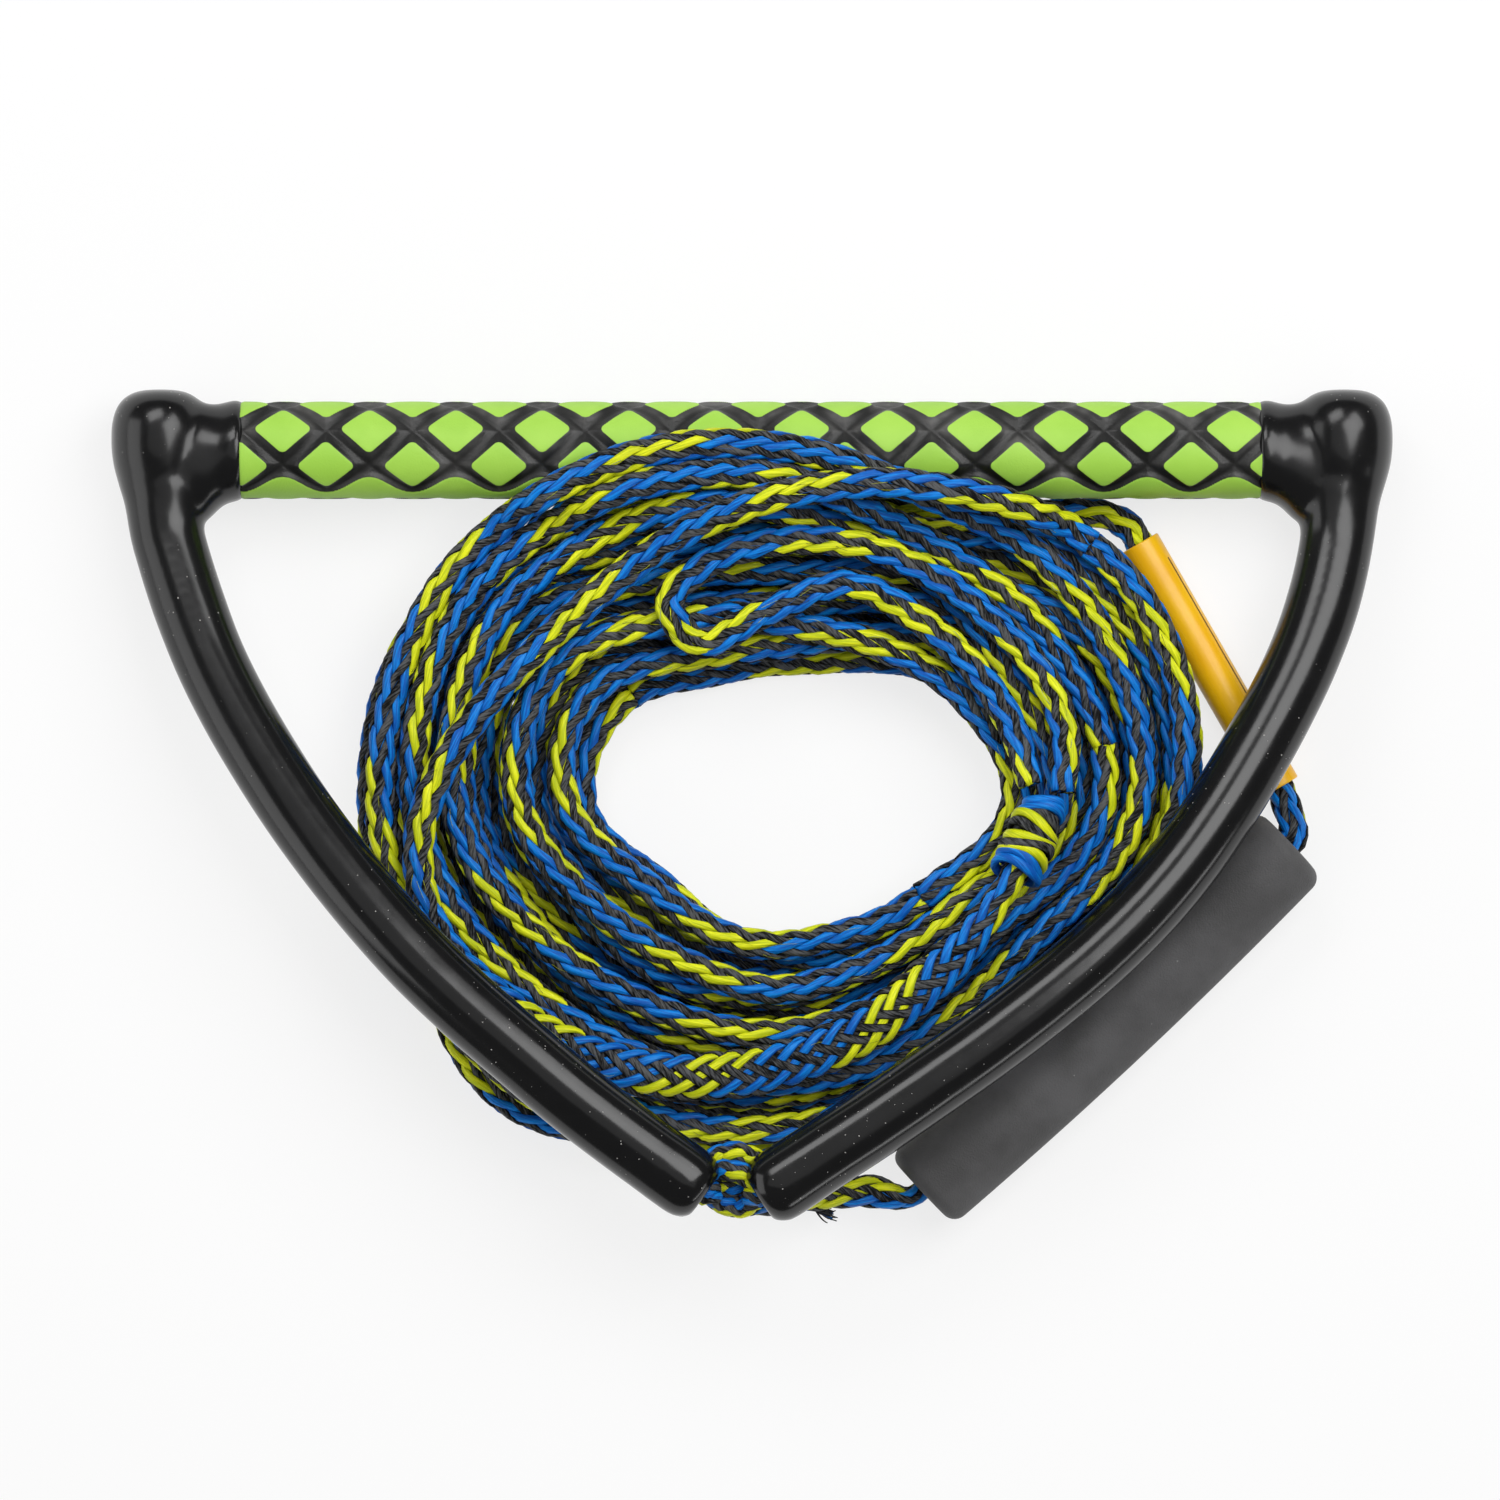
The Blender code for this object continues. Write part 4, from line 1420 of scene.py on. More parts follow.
    def add_fuzz(
        self, mesh: StrandMesh, line: np.ndarray, wide: np.ndarray, high: np.ndarray, gap: float,
    ) -> None:
        """Lift loose fibres off the rope's upper side.

        Args:
            mesh: mesh of the rope.
            line: middle of the rope.
            wide: half the rope's width at each point.
            high: half its height at each point.
            gap: mean length of rope from one fibre to the next.
        """
        along, side, up = line_frames(line)
        rng = np.random.default_rng(len(line) + 7)
        u = np.linspace(0.0, 1.0, 7)
        for k in range(int(run_of(line)[-1] / gap)):
            i = int(rng.integers(4, len(line) - 4))
            turn = np.pi * rng.uniform(0.15, 0.85)
            cos, sin = np.cos(turn), np.sin(turn)
            out = side[i] * cos + up[i] * sin
            foot = line[i] + side[i] * cos * wide[i] + up[i] * sin * high[i] - out * self.fibre_root
            lean = 0.12 * np.clip(rng.normal(), -1.5, 1.5) - 0.5 * cos * rng.random()
            way = along[i] * (1.0 if k % 2 else -1.0) + side[i] * lean
            arch = np.sin(np.pi * u * rng.uniform(0.55, 0.95)) * rng.uniform(*self.fibre_high)
            fibre = foot + way * (rng.uniform(*self.fibre_long) * u)[:, None] + out * arch[:, None]
            size = self.fibre_half * (1.0 - 0.5 * u)
            yarn = (Yarn.BLACK, Yarn.BLUE, Yarn.BLACK, Yarn.LIME)[k % 4]
            mesh.sweep(fibre, np.tile(out, (len(u), 1)), size, size, yarn, 4, k * 0.1)


@dataclass
class RopeCoil:
    """Pile of loops: layers that spiral in and out, one above the other.

    outer and inner are the layers' reach at even steps round from +X, and the top layer has its own. A row
    of settled is a place where strands have slid: the layer, the direction and its spread, the share of
    the way in, and how far. cuts are the places, in layers, where a new stretch of rope starts.
    """

    braid: Braid
    centre: tuple[float, float] = (10.0, 0.0)
    turns: float = 4.25
    layers: int = 4
    start: float = 55.0
    left_off: float = 15.0
    climb: float = 90.0
    layer_pitch: float = 6.9
    lowest: float = 3.4
    half_wide: float = 4.7
    half_high: float = 3.55
    hump_high: float = 12.0
    hump_from: float = 80.0
    hump_run: float = 13.0
    degree_step: float = 1.2
    yarn_turns: float = 7.37
    cuts: tuple[float, ...] = (0.0, 1.0, 2.0, 2.5, 3.0, 3.5)
    steps: tuple[float, ...] = (3.0, 2.8, 2.1, 2.1, 1.9, 1.9)
    outer: tuple[float, ...] = (117.5, 113.5, 96.4, 86.0, 96.4, 124.0, 125.5, 120.5, 111.6, 102.7, 96.0, 98.2)
    inner: tuple[float, ...] = (67.0, 60.5, 47.5, 41.0, 43.5, 57.0, 59.0, 42.0, 40.5, 41.0, 43.2, 50.3)
    top_outer: tuple[float, ...] = (
        118.5, 113.5, 108.6, 113.2, 121.7, 129.0, 129.0, 121.0, 111.6, 102.7, 96.0, 98.2,
    )
    top_inner: tuple[float, ...] = (67.0, 60.5, 65.3, 69.9, 78.4, 85.7, 79.0, 58.0, 44.0, 43.0, 43.5, 50.3)
    sleeve_lean: tuple[float, float, float] = (8.0, 28.0, 24.0)
    tail_bulge: tuple[float, float, float] = (15.5, 228.0, 20.0)
    settled: Sequence[tuple[int, float, float, float, float]] = (
        (3, 112.0, 27.0, 0.43, 1.5), (3, 116.0, 32.0, 0.68, 3.4), (3, 52.0, 15.0, 0.24, 2.8),
        (3, 88.0, 14.0, 0.41, 1.5), (3, 130.0, 14.0, 0.17, -0.9), (3, 236.0, 14.0, 0.12, -1.4),
        (2, 22.0, 14.0, 0.10, -2.9), (2, 46.0, 9.0, 0.11, 4.2), (2, 234.0, 14.0, 0.235, 1.1),
        (2, 215.0, 16.0, 0.93, 1.0), (0, 215.0, 16.0, 0.81, -1.0), (0, 121.0, 13.0, 0.042, 3.4),
        (0, 113.0, 9.0, 0.042, 1.5),
    )
    settled_share: float = 0.09

    @property
    def per_layer(self) -> float:
        """Degrees turned in one layer."""
        return 360.0 * self.turns

    @staticmethod
    def radius(table: Sequence[float], angle: np.ndarray) -> np.ndarray:
        """Distance from the coil's middle in a direction.

        Args:
            table: distances at even steps from +X.
            angle: directions in degrees.

        Returns:
            Distances on a smooth curve through the table.
        """
        n = len(table)
        at = (angle % 360.0) / (360.0 / n)
        i = np.floor(at).astype(int)
        u = at - i
        t = np.array(table)
        p = [t[(i + k) % n] for k in (-1, 0, 1, 2)]
        a = -0.5 * p[0] + 1.5 * p[1] - 1.5 * p[2] + 0.5 * p[3]
        b = p[0] - 2.5 * p[1] + 2.0 * p[2] - 0.5 * p[3]
        return ((a * u + b) * u + 0.5 * (p[2] - p[0])) * u + p[1]

    @staticmethod
    def bulge(shape: tuple[float, float, float], angle: np.ndarray) -> np.ndarray:
        """Extra reach near one direction.

        Args:
            shape: greatest reach, its direction and its spread.
            angle: directions in degrees.

        Returns:
            Extra reach in each direction.
        """
        away = (angle - shape[1] + 180.0) % 360.0 - 180.0
        return shape[0] * np.exp(-((away / shape[2]) ** 2))

    def hump(self, y: np.ndarray) -> np.ndarray:
        """How far strands rise where they cross the grip."""
        return self.hump_high * ease((y - self.hump_from) / self.hump_run)

    def line(self, first: float, last: float) -> np.ndarray:
        """Middle of the rope between two turns.

        Args:
            first: degrees turned where the stretch starts.
            last: degrees turned where it ends.

        Returns:
            Closely spaced points.
        """
        per_layer = self.per_layer
        turn = np.linspace(first, last, int((last - first) / self.degree_step) + 2)
        layer = np.minimum((turn // per_layer).astype(int), self.layers - 1)
        share = (turn - layer * per_layer) / per_layer
        inward = np.where(layer % 2 == 0, share, 1.0 - share)
        angle = self.start + turn
        level = layer.astype(float)
        for k in range(1, self.layers):
            past = turn - k * per_layer
            risen = k - 1 + ease((past + self.climb) / (2 * self.climb))
            level = np.where(np.abs(past) < self.climb, risen, level)
        top = ease((turn - (self.layers - 1) * per_layer) / 360.0)
        outer = self.radius(self.outer, angle) * (1 - top) + self.radius(self.top_outer, angle) * top
        inner = self.radius(self.inner, angle) * (1 - top) + self.radius(self.top_inner, angle) * top
        outer = outer + np.where(turn < 360.0, self.bulge(self.tail_bulge, angle), 0.0)
        upper = turn > 2 * per_layer + self.climb
        outer = outer + np.where(upper, self.bulge(self.sleeve_lean, angle), 0.0)
        radius = outer + (inner - outer) * inward + self.waver(turn)
        for which, toward, spread, place, reach in self.settled:
            near = np.exp(-(((inward - place) / self.settled_share) ** 2))
            pushed = self.bulge((reach, toward, spread), angle) * near
            radius = radius + np.where(layer == which, pushed, 0.0)
        x = self.centre[0] + radius * np.cos(np.radians(angle))
        y = self.centre[1] + radius * np.sin(np.radians(angle))
        z = self.lowest + self.layer_pitch * level
        z = z + np.where(level > 2.0, self.hump(y) * ease(level - 2.0), 0.0)
        return np.column_stack([x, y, z])

    @staticmethod
    def waver(turn: np.ndarray) -> np.ndarray:
        """Small sideways wander of a loosely laid strand."""
        a = np.radians(turn)
        return 0.7 * np.sin(2.37 * a + 0.4) + 0.55 * np.sin(3.83 * a + 1.9) + 0.3 * np.sin(7.1 * a)

    def build(self) -> list[tuple[bpy.types.Object, np.ndarray]]:
        """Weave the coil as stretches of rope, the upper ones in finer steps.

        Returns:
            The stretches in order, each with its middle line.
        """
        ends = [cut * self.per_layer for cut in self.cuts]
        ends.append(self.layers * self.per_layer - self.left_off)
        made = []
        for k, step in enumerate(self.steps):
            line = even_steps(self.line(ends[k], ends[k + 1]), step)
            share = np.linspace(ends[k], ends[k + 1], len(line))
            swell = np.where(share < 360.0, self.bulge((2.0, *self.tail_bulge[1:]), self.start + share), 0.0)
            wide = self.half_wide + swell
            high = np.full(len(line), self.half_high)
            lay = self.braid.lay - 7.0 * swell
            turn = ends[k] / 360.0 * self.yarn_turns
            fuzz = 9.0 if k > 1 else 0.0
            piece = self.braid.weave(f"coil_stretch_{k + 1}", line, wide, high, 6, lay, turn, fuzz)
            made.append((piece, line))
        return made


@dataclass
class TowEnd:
    """Top loop of the rope, its splice, the winding at the throat and the eye.

    Pairs of halves, and of what they grow by, are the width and the height of the rope. A row of rises is
    a height, the point of the route where the rope starts to climb it, and how many points that takes.
    """

    braid: Braid
    coil: RopeCoil
    level: float = 30.9
    throat_lift: float = 5.4
    throat_start: tuple[float, float] = (78.6, -20.2)
    throat_end: tuple[float, float] = (87.0, -0.2)
    route: Sequence[tuple[float, float]] = (
        (86.2, 84.6), (72.8, 89.2), (57.5, 92.4), (41.6, 94.2), (25.6, 93.6), (5.0, 89.6), (-15.3, 82.0),
        (-39.1, 66.8), (-63.0, 46.0), (-80.8, 26.6), (-92.7, 7.9), (-98.7, -11.5), (-97.0, -29.3),
        (-89.4, -45.2), (-76.8, -59.3), (-58.5, -71.5), (-33.2, -80.0), (-3.4, -80.5), (29.3, -69.8),
        (56.1, -49.6), (72.5, -29.9),
    )
    eye_route: Sequence[tuple[float, float]] = (
        (92.2, 2.9), (93.2, 18.3), (86.9, 36.2), (71.6, 53.9), (51.7, 68.4), (29.3, 76.6), (5.5, 76.8),
        (-13.0, 70.8), (-24.4, 59.4), (-17.3, 47.6), (5.5, 56.9), (29.3, 64.4), (49.2, 54.4), (65.5, 40.0),
        (77.0, 22.6), (82.6, 5.0),
    )
    rises: Sequence[tuple[float, int, float]] = ((2.4, 11, 2.0), (2.8, 17, 3.0))
    splice: tuple[float, float, float, float] = (0.54, 0.07, 0.87, 0.08)
    throat: tuple[float, float] = (0.90, 0.06)
    half: tuple[float, float] = (4.8, 3.6)
    splice_grows: tuple[float, float] = (2.7, 1.65)
    throat_grows: tuple[float, float] = (-0.5, 0.4)
    tail_half: tuple[float, float] = (5.3, 3.0)
    lanes: Sequence[Yarn] = (Yarn.BLUE,) * 2 + (Yarn.BLACK, Yarn.LIME) * 3 + (Yarn.BLUE,) * 2
    lane_pitch: float = 2.3
    wrap_radius: float = 7.0
    wrap_height: float = 5.9
    wrap_turns: float = 1.06
    wrap_points: int = 56

    def tow_line(self, start: np.ndarray, way: np.ndarray) -> np.ndarray:
        """Middle of the top loop and splice.

        Args:
            start: end of the coil.
            way: direction of the rope there.

        Returns:
            Closely spaced points.
        """
        points = [tuple(start), tuple(start + way * 9.0)]
        plan = np.array(self.route)
        i = np.arange(len(plan))
        base = start[2] - float(self.coil.hump(np.array(start[1])))
        z = base + (self.level - base) * ease((i + 1) / 4.0)
        z = z + self.coil.hump(plan[:, 1] + np.where(i > 2, 6.0, 3.0))
        for height, first, taken in self.rises:
            z = z + height * ease((i - first) / taken)
        points += [tuple(p) for p in np.column_stack([plan, z])]
        top = self.level + self.throat_lift
        points += [(*self.throat_start, top), (*self.throat_end, top)]
        return smooth_route(points, 400)

    def build_tow(self, start: np.ndarray, way: np.ndarray) -> tuple[bpy.types.Object, np.ndarray]:
        """Weave the top loop, which swells where its own tail is buried.

        Args:
            start: end of the coil.
            way: direction of the rope there.

        Returns:
            The rope and its middle line.
        """
        line = even_steps(self.tow_line(start, way), 1.8)
        u = run_of(line) / run_of(line)[-1]
        thick = plateau(u, self.splice)
        throat = ease((u - self.throat[0]) / self.throat[1])
        grows = zip(self.half, self.splice_grows, self.throat_grows)
        wide, high = (half + more * thick + less * throat for half, more, less in grows)
        mesh = StrandMesh()
        self.braid.add_to(mesh, line, wide, high, 8, self.braid.lay - 18.0 * thick)
        buried = np.flatnonzero(thick > 0.6)
        tail = line[buried[0]:buried[-1]]
        tail_wide, tail_high = (np.full(len(tail), half) for half in self.tail_half)
        self.braid.add_to(mesh, tail, tail_wide, tail_high, 6, turn=0.4)
        self.braid.add_fuzz(mesh, line, wide, high, 5.0)
        return mesh.finish("tow_line_braid", self.braid.yarns), line

    def build_eye(self) -> tuple[bpy.types.Object, np.ndarray]:
        """Weave the eye.

        Returns:
            The rope and its middle line.
        """
        plan = np.array(self.eye_route)
        near = np.minimum(np.arange(len(plan)), np.arange(len(plan))[::-1])
        z = self.level - 0.2 + self.coil.hump(plan[:, 1] + 6.0) + 5.0 * (1.0 - ease(near / 2.5))
        line = even_steps(smooth_route(np.column_stack([plan, z]), 300), 1.8)
        u = run_of(line) / run_of(line)[-1]
        pinch = 1.0 - ease(np.minimum(u, 1.0 - u) / 0.07)
        wide = 4.7 - 0.7 * pinch
        high = 3.3 - 0.2 * pinch
        return self.braid.weave("tow_eye_braid", line, wide, high, 8, fuzz=6.0), line

    def build_whipping(self) -> bpy.types.Object:
        """Wind the rope's own yarns round the throat, side by side and aslant.

        Returns:
            The winding.
        """
        top = self.level + self.throat_lift
        a = np.array((*self.throat_start, top))
        b = np.array((*self.throat_end, top))
        along = unit(a - b)
        side = unit(np.cross(along, UP))
        up = np.cross(side, along)
        mesh = StrandMesh()
        u = np.linspace(0.0, self.wrap_turns, self.wrap_points)
        middle = (len(self.lanes) - 1) / 2
        for lane, yarn in enumerate(self.lanes):
            turn = 2 * np.pi * u - 0.9 + 0.3 * math.sin(1.7 * lane)
            away = (lane - middle) / middle
            fat = 1.0 + 0.09 * away - 0.13 * away * away + 0.04 * math.sin(2.3 * lane)
            tilt = 1.5 * math.sin(1.3 * lane + 0.6)
            slant = tilt * np.cos(turn) - 2.3 * np.sin(turn) + 0.6 * np.sin(2 * turn + lane)
            cross = side * (np.cos(turn) * self.wrap_radius * fat)[:, None]
            cross = cross + up * (np.sin(turn) * self.wrap_height * fat)[:, None]
            line = (a + b) / 2 + along * (0.8 + (lane - middle) * self.lane_pitch + slant)[:, None] + cross
            wide = 1.55 + 0.12 * np.sin(3.0 * turn + lane)
            thick = np.full(len(u), 1.2 if yarn is not Yarn.BLACK else 1.0)
            mesh.sweep(line, unit(cross), wide, thick, yarn, 8, lane * 0.37)
        core = np.linspace(b + along * 1.5, a - along * 1.5, 8)
        mesh.sweep(core, np.tile(up, (8, 1)), np.full(8, 6.2), np.full(8, 5.0), Yarn.BLACK, 16, 0.0)
        return mesh.finish("throat_yarn_wraps", self.braid.yarns)


@dataclass
class FloatLine:
    """Line from the bridle's knot through the float and the sleeve to the coil.

    spread and pinch are where, along X, the line lies looser and where the float's mouth holds it.
    """

    braid: Braid
    float_upper: Point = (160.6, -12.6, 14.0)
    float_lower: Point = (50.6, -116.0, 14.0)
    guard_upper: Point = (115.9, 77.2, 6.3)
    guard_lower: Point = (157.9, 4.3, 6.3)
    knot: Point = (-5.6, -112.7, 45.5)
    lead: Sequence[Point] = (
        (-0.2, -118.2, 39.2), (6.0, -118.2, 33.0), (16.0, -117.2, 25.0), (28.0, -116.1, 18.0),
        (38.0, -116.5, 14.6), (43.4, -118.0, 14.1), (47.2, -118.0, 14.0),
    )
    bend: Sequence[Point] = ((161.6, -9.6, 13.3), (160.8, -4.6, 11.0), (159.2, 0.4, 7.9))
    knot_route: Sequence[Point] = (
        (-15.0, -109.5, 47.5), (-10.0, -104.6, 48.0), (-3.6, -103.4, 49.4), (2.0, -106.6, 47.0),
        (-1.5, -111.2, 43.0), (-8.5, -111.8, 42.6), (-11.2, -109.6, 47.0), (-6.5, -108.4, 51.4),
        (0.2, -111.4, 51.2), (1.8, -116.0, 48.0), (-3.2, -119.4, 45.6), (-9.6, -117.6, 46.0),
        (-13.6, -113.4, 47.2),
    )
    knot_inner: Sequence[Point] = (
        (-13.0, -113.0, 44.0), (-9.0, -113.6, 45.6), (-5.2, -113.4, 46.4), (-1.6, -112.6, 45.4),
        (2.6, -111.6, 43.6),
    )
    half_wide: float = 4.55
    half_high: float = 3.9
    spread: tuple[float, float, float, float] = (8.0, 14.0, 36.0, 8.0)
    pinch: tuple[float, float, float, float] = (40.0, 7.0, 62.0, 8.0)
    cut_from: Point = (17.5, -117.2, 19.0)
    cut_to: Point = (23.4, -122.0, 16.0)
    cut_bend: Point = (-1.0, -5.0, -1.0)
    cut_yarns: int = 44
    entry: Sequence[Point] = ((109.4, 84.2, 5.4), (103.6, 86.2, 4.6), (96.0, 86.6, 3.6), (85.6, 85.4, 3.2))

    def build(self, start: np.ndarray, way: np.ndarray) -> tuple[bpy.types.Object, np.ndarray]:
        """Weave the line.

        Args:
            start: first point of the coil.
            way: direction of the rope there.

        Returns:
            The rope and its middle line.
        """
        upper, lower = np.array(self.float_upper), np.array(self.float_lower)
        top, low = np.array(self.guard_upper), np.array(self.guard_lower)
        down = unit(lower - upper)
        rise = unit(top - low)
        stretches = [
            smooth_route([*self.lead, tuple(lower + down * 1.2)], 40),
            np.linspace(lower, upper, 60),
            smooth_route([tuple(upper - down * 0.6), *self.bend, tuple(low - rise * 0.6)], 30),
            np.linspace(low, top, 40),
            smooth_route([tuple(top + rise * 5.0), *self.entry, tuple(start - way * 9.0), tuple(start)], 50),
        ]
        line = even_steps(np.concatenate(stretches), 2.0)
        high = np.minimum(self.half_high, line[:, 2] - 0.02)
        x = line[:, 0]
        below = line[:, 1] < -100.0
        change = 0.6 * plateau(x, self.spread) - 1.15 * plateau(x, self.pinch)
        wide = self.half_wide + np.where(below, change, 0.0)
        return self.braid.weave("float_line_braid", line, wide, high, 6), line

    def build_knot(self) -> bpy.types.Object:
        """Wind the bridle's knot: turns of the thinner bridle braid pulled tight.

        Returns:
            The knot.
        """
        mesh = StrandMesh()
        for route, count, half, lay, turn in (
            (self.knot_route, 160, 3.5, 44.0, 0.0), (self.knot_inner, 60, 3.6, 40.0, 0.3),
        ):
            line = even_steps(smooth_route(route, count), 0.8)
            size = np.full(len(line), half)
            self.braid.add_to(mesh, line, size, size, 8, np.full(len(line), lay), turn)
        return mesh.finish("bridle_knot_yarns", self.braid.yarns)

    def build_tail(self) -> bpy.types.Object:
        """Spread the frayed yarns of the line's cut end.

        Returns:
            The frayed end.
        """
        mesh = StrandMesh()
        rng = np.random.default_rng(11)
        u = np.linspace(0.0, 1.0, 9)[:, None]
        for k in range(self.cut_yarns):
            start = np.array(self.cut_from) + rng.normal(0.0, 1.0, 3)
            end = np.array(self.cut_to) + rng.normal(0.0, 1.25, 3)
            bend = np.array(self.cut_bend) + rng.normal(0.0, 1.6, 3)
            line = start + (end - start) * u + bend * u * (1.0 - u)
            out = np.tile(np.array([0.3, 0.2, 1.0]), (9, 1))
            size = 0.42 * (1.0 - 0.6 * u[:, 0])
            mesh.sweep(line, out, size, size, Yarn.BLACK if k % 6 else Yarn.BLUE, 4, k * 0.3)
        return mesh.finish("line_cut_end", self.braid.yarns)


@dataclass
class Studio:
    """Camera above the handle, soft lights and a pale floor, in metres.

    A row of lamps is a light's name, where it hangs, the size of its face and how bright that is.
    """

    frame_width: float = 0.44655
    centre: tuple[float, float] = (-0.00045, 0.01533)
    level: float = 0.018
    lens: float = 250.0
    sensor: float = 36.0
    room: float = 0.22
    room_mirrored: float = 0.08
    room_seen: float = 0.78
    floor_glow: float = 0.76
    lamps: Sequence[tuple[str, Point, tuple[float, float], float]] = (
        ("ceiling", (0.1, 0.3, 1.7), (2.2, 1.6), 0.4),
        ("key_box", (0.62, 0.48, 1.2), (0.8, 1.1), 4.2),
        ("back_box", (-0.4, 0.95, 1.1), (0.9, 0.5), 4.4),
        ("left_wall", (-1.35, -0.1, 0.5), (1.5, 0.9), 1.6),
        ("low_strip", (0.85, -0.8, 0.3), (1.0, 0.14), 3.5),
    )

    def build(self) -> None:
        """Make the camera, the lights, the world and the floor."""
        scene = bpy.context.scene
        scene.view_settings.view_transform = "Standard"
        camera = bpy.data.cameras.new("camera")
        camera.lens = self.lens
        camera.sensor_width = self.sensor
        camera.clip_end = 50.0
        seat = bpy.data.objects.new("camera", camera)
        away = self.frame_width * self.lens / self.sensor
        seat.location = (*self.centre, self.level + away)
        scene.collection.objects.link(seat)
        scene.camera = seat
        for lamp in self.lamps:
            self.light(*lamp)
        self.world()
        self.floor()

    @staticmethod
    def light(name: str, place: Point, size: tuple[float, float], glow: float) -> None:
        """Hang one soft light that faces the handle.

        Args:
            name: name of the light.
            place: where it hangs.
            size: width and height of its face.
            glow: brightness of its face, where 1 looks as white as the floor.
        """
        lamp = bpy.data.lights.new(name, "AREA")
        lamp.shape = "RECTANGLE"
        lamp.size, lamp.size_y = size
        lamp.energy = glow * math.pi * size[0] * size[1]
        hung = bpy.data.objects.new(name, lamp)
        hung.location = place
        hung.rotation_euler = (-Vector(place)).to_track_quat("-Z", "Y").to_euler()
        hung.visible_camera = False
        bpy.context.scene.collection.objects.link(hung)

    def world(self) -> None:
        """Make the even light of a pale room, dim where a glossy skin mirrors it."""
        world = bpy.data.worlds.new("room")
        world.use_nodes = True
        graph = Graph(world.node_tree)
        background = world.node_tree.nodes["Background"]
        background.inputs["Color"].default_value = (1.0, 1.0, 1.0, 1.0)
        path = graph.node("ShaderNodeLightPath")
        dim = graph.math("MULTIPLY", path.outputs["Is Glossy Ray"], self.room_mirrored)
        seen = graph.math("MULTIPLY", path.outputs["Is Camera Ray"], self.room_seen)
        strength = graph.math("ADD", graph.math("SUBTRACT", self.room, dim), seen)
        graph.feed(background.inputs["Strength"], strength)
        bpy.context.scene.world = world

    def floor(self) -> None:
        """Lay the pale floor, lit up to white for the camera but keeping shadows."""
        bm = bmesh.new()
        bmesh.ops.create_grid(bm, x_segments=2, y_segments=2, size=4000.0)
        plane = object_from_bmesh("floor", bm)
        made, graph, shader = new_material("pale_floor")
        shader.inputs["Base Color"].default_value = (0.92, 0.92, 0.92, 1.0)
        shader.inputs["Roughness"].default_value = 0.9
        glow = graph.node("ShaderNodeEmission")
        glow.inputs["Color"].default_value = (1.0, 1.0, 1.0, 1.0)
        path = graph.node("ShaderNodeLightPath")
        seen = graph.math("MAXIMUM", path.outputs["Is Camera Ray"], path.outputs["Is Glossy Ray"])
        seen = graph.math("MAXIMUM", seen, path.outputs["Is Transmission Ray"])
        mixed = graph.node("ShaderNodeMixShader")
        graph.feed(mixed.inputs[0], graph.math("MULTIPLY", seen, self.floor_glow))
        graph.feed(mixed.inputs[1], shader.outputs[0])
        graph.feed(mixed.inputs[2], glow.outputs[0])
        output = made.node_tree.nodes["Material Output"]
        graph.feed(output.inputs["Surface"], mixed.outputs[0])
        plane.data.materials.append(made)


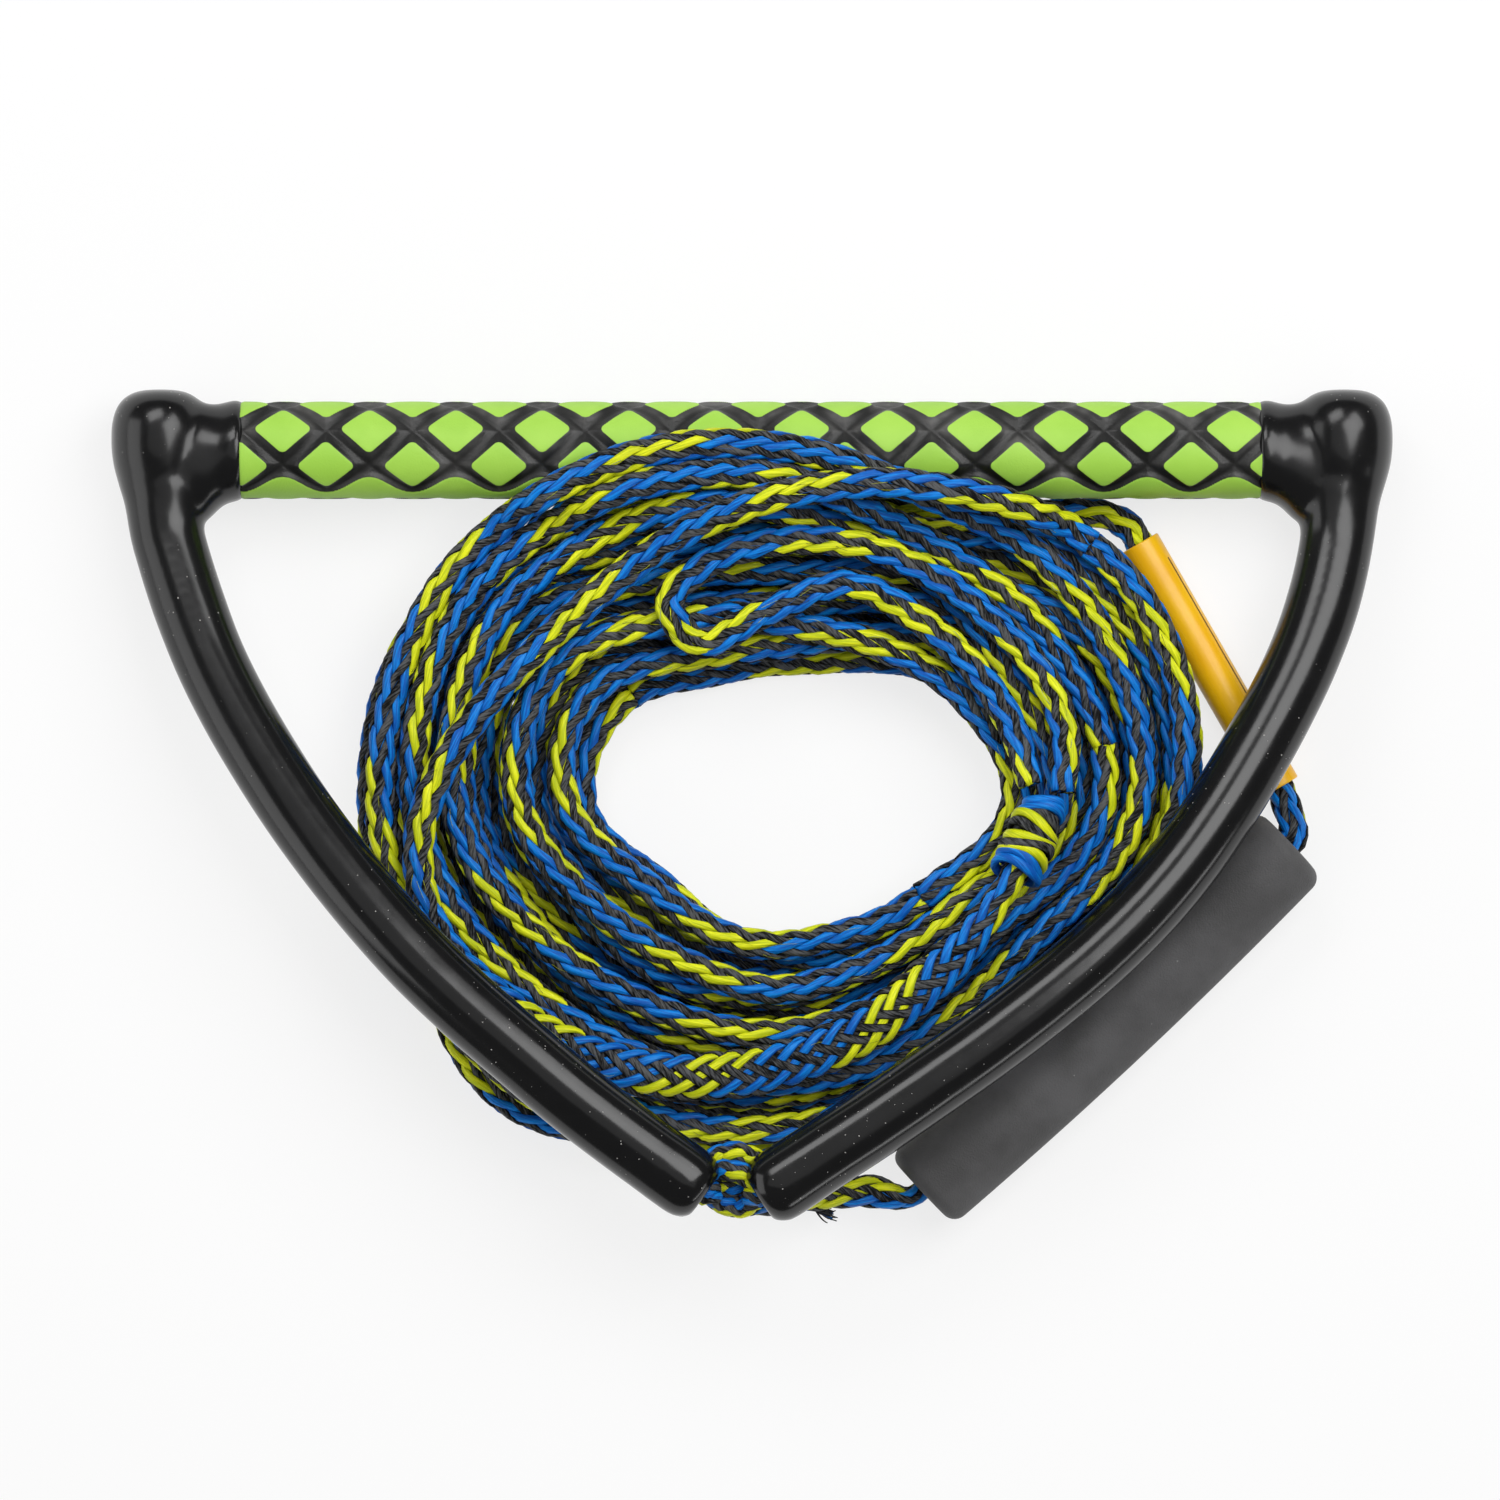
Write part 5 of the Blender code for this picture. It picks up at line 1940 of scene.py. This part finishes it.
@dataclass
class TowHandle:
    """The whole handle: finishes first, then cords, then the moulded pieces."""

    left_route: Sequence[tuple[float, float]] = (
        (-173.7, 79.3), (-171.6, 71.9), (-166.6, 57.0), (-160.6, 42.1), (-153.0, 27.2), (-144.2, 12.4),
        (-134.4, -2.5), (-123.4, -17.4), (-111.2, -32.3), (-97.6, -47.2), (-84.4, -59.7), (-68.9, -73.1),
        (-51.5, -87.7), (-33.8, -101.1), (-21.0, -110.3), (-15.0, -114.6),
    )
    right_route: Sequence[tuple[float, float]] = (
        (174.3, 79.3), (173.0, 71.9), (169.1, 57.0), (163.4, 42.1), (156.1, 27.2), (147.5, 11.8),
        (138.3, -3.1), (127.6, -18.0), (116.3, -31.1), (102.9, -44.2), (87.0, -57.6), (69.5, -71.0),
        (53.1, -82.6), (35.3, -94.8), (21.6, -103.7), (10.3, -111.2), (3.6, -115.7),
    )

    # the sixth value of each yarn is its painted edge shadow: black mixed in at a strand's edges
    yarns: Sequence[YarnFinish] = (
        YarnFinish("blue_yarn", (0.004, 0.245, 0.78), (0.0015, 0.095, 0.45), 0.38, 0.22, 0.2),
        YarnFinish("lime_yarn", (0.86, 0.90, 0.015), (0.52, 0.60, 0.005), 0.38, 0.25, 0.15),
        YarnFinish(
            "black_yarn", (0.108, 0.112, 0.116), (0.003, 0.003, 0.003), 0.66, 0.14, 0.85, along=260.0,
            across=11.0, twist=55.0, depth=0.5,
        ),
    )

    def __post_init__(self) -> None:
        """Make the shared groups, the yarns and the sub-assemblies."""
        fibres = fibre_group()
        self.dust = dust_group()
        self.foam = foam_group()
        self.braid = Braid([yarn.make(fibres) for yarn in self.yarns])
        self.left = LegCover("left_leg_dip", -174.3, -152.4, self.left_route)
        self.right = LegCover("right_leg_dip", 174.6, 152.1, self.right_route)
        self.coil = RopeCoil(self.braid)
        self.tow = TowEnd(self.braid, self.coil)
        self.line = FloatLine(self.braid)

    @staticmethod
    def settle(piece: bpy.types.Object, body: Body, slot: str, *nodes: str) -> bpy.types.Object:
        """Fix a piece to the frame.

        Args:
            piece: the piece.
            body: body that it rides on.
            slot: material slot of the record that it belongs to; not used.
            nodes: frame nodes that it stands for.

        Returns:
            The piece.
        """
        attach(piece, body.value)
        if nodes:
            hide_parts(*nodes)
        LOG.info("%s: %d faces on %s", piece.name, len(piece.data.polygons), body.value)
        return piece

    @staticmethod
    def cord(
        piece: bpy.types.Object, line: np.ndarray, diameter: float, lay: str,
        with_pieces: Sequence[bpy.types.Object] = (),
    ) -> None:
        """Take a stretch of rope by its middle line; nothing is done with it.

        Args:
            piece: the rope; not used.
            line: its middle line in millimetres; not used.
            diameter: its width in millimetres; not used.
            lay: how it lies; not used.
            with_pieces: pieces on it; not used.
        """

    def build_cords(self) -> None:
        """Weave every stretch of the line, in the order that it runs."""
        layers = self.coil.build()
        first = layers[0][1]
        way = unit(first[1] - first[0])
        knot = self.settle(self.line.build_knot(), Body.HANDLE, "rope", "bridle_knot")
        line, route = self.line.build(first[0], way)
        self.settle(line, Body.HANDLE, "rope", "float_line")
        tail = self.settle(self.line.build_tail(), Body.HANDLE, "rope")
        self.cord(line, route, 9.1, "loose", with_pieces=[knot, tail])
        for k, (piece, route) in enumerate(layers):
            self.settle(piece, Body.HANDLE, "rope", *(("rope_coil",) if k == 0 else ()))
            self.cord(piece, route, 9.5, "coiled")
        last = layers[-1][1]
        way = unit(last[-1] - last[-2])
        tow, route = self.tow.build_tow(last[-1], way)
        wraps = self.settle(self.tow.build_whipping(), Body.HANDLE, "rope", "throat_whipping")
        self.settle(tow, Body.HANDLE, "rope", "tow_line")
        self.cord(tow, route, 12.0, "coiled", with_pieces=[wraps])
        eye, route = self.tow.build_eye()
        self.settle(eye, Body.HANDLE, "rope", "tow_eye")
        self.cord(eye, route, 9.2, "loose")

    def build_leg_ropes(self) -> None:
        for leg, node in ((self.left, "left_leg_rope"), (self.right, "right_leg_rope")):
            line = leg.rope_line(self.line.knot)
            size = np.full(len(line), 3.7)
            rope = self.braid.weave(node + "_braid", line, size, size, 6)
            self.settle(rope, Body.HANDLE, "rope", node)
            self.cord(rope, line, 7.9, "taut")

    def build_moulded(self, nodes: dict[str, bpy.types.Object]) -> None:
        """Make the grip, the covers, the float and the sleeve, and dress what stays of the frame.

        Args:
            nodes: objects of the frame by name.
        """
        grip = GripSleeve()
        sleeve = self.settle(grip.build(), Body.HANDLE, "grip_foam", "grip_sleeve")
        sleeve.data.materials.append(GripFinish().make(self.foam, grip.pads))
        dip = DipFinish().make(self.dust)
        for leg, node in ((self.left, "left_leg_cover"), (self.right, "right_leg_cover")):
            cover = self.settle(leg.build(), Body.HANDLE, "leg_cover", node)
            cover.data.materials.clear()
            cover.data.materials.append(dip)
        line = self.line
        buoy = TurnedPiece(
            "float_foam_body", line.float_upper, line.float_lower, radius=14.0, bore=5.1, rim=4.2, rings=60,
            sides=96, bow=1.8,
        )
        piece = self.settle(buoy.build(), Body.FLOAT, "float_foam", "float")
        piece.data.materials.append(FloatFinish().make(self.foam, self.dust))
        tube = TurnedPiece(
            "chafe_sleeve_tube", line.guard_lower, line.guard_upper, radius=6.2, bore=5.1, rim=0.45, rings=40,
            sides=64,
        )
        piece = self.settle(tube.build(), Body.GUARD, "guard_plastic", "chafe_guard")
        along = Vector(line.guard_upper) - Vector(line.guard_lower)
        piece.data.materials.append(GuardFinish().make(self.dust, along))
        cut = TubeSeam(
            line.guard_lower, line.guard_upper, radius=tube.radius, angle=56.0, first=9.0,
            last=along.length - 8.0,
        )
        piece = self.settle(cut.build(), Body.GUARD, "guard_plastic")
        piece.data.materials.append(SeamFinish().make())
        metal = MetalFinish().make()
        plastic = PlugFinish().make(self.dust)
        knotted = KnotFinish().make()
        kept = {"bar_tube": metal, "left_bar_plug": plastic, "right_bar_plug": plastic}
        kept |= {"left_stopper_knot": knotted, "right_stopper_knot": knotted}
        for name, material in kept.items():
            nodes[name].data.materials.clear()
            nodes[name].data.materials.append(material)


def main() -> None:
    """Build the scene in order: frame, studio, cords, moulded pieces."""
    logging.basicConfig(level=logging.INFO, format="%(name)s %(message)s")
    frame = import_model()
    Studio().build()
    handle = TowHandle()
    handle.build_cords()
    handle.build_leg_ropes()
    handle.build_moulded(frame["nodes"])


if __name__ == "__main__":
    main()
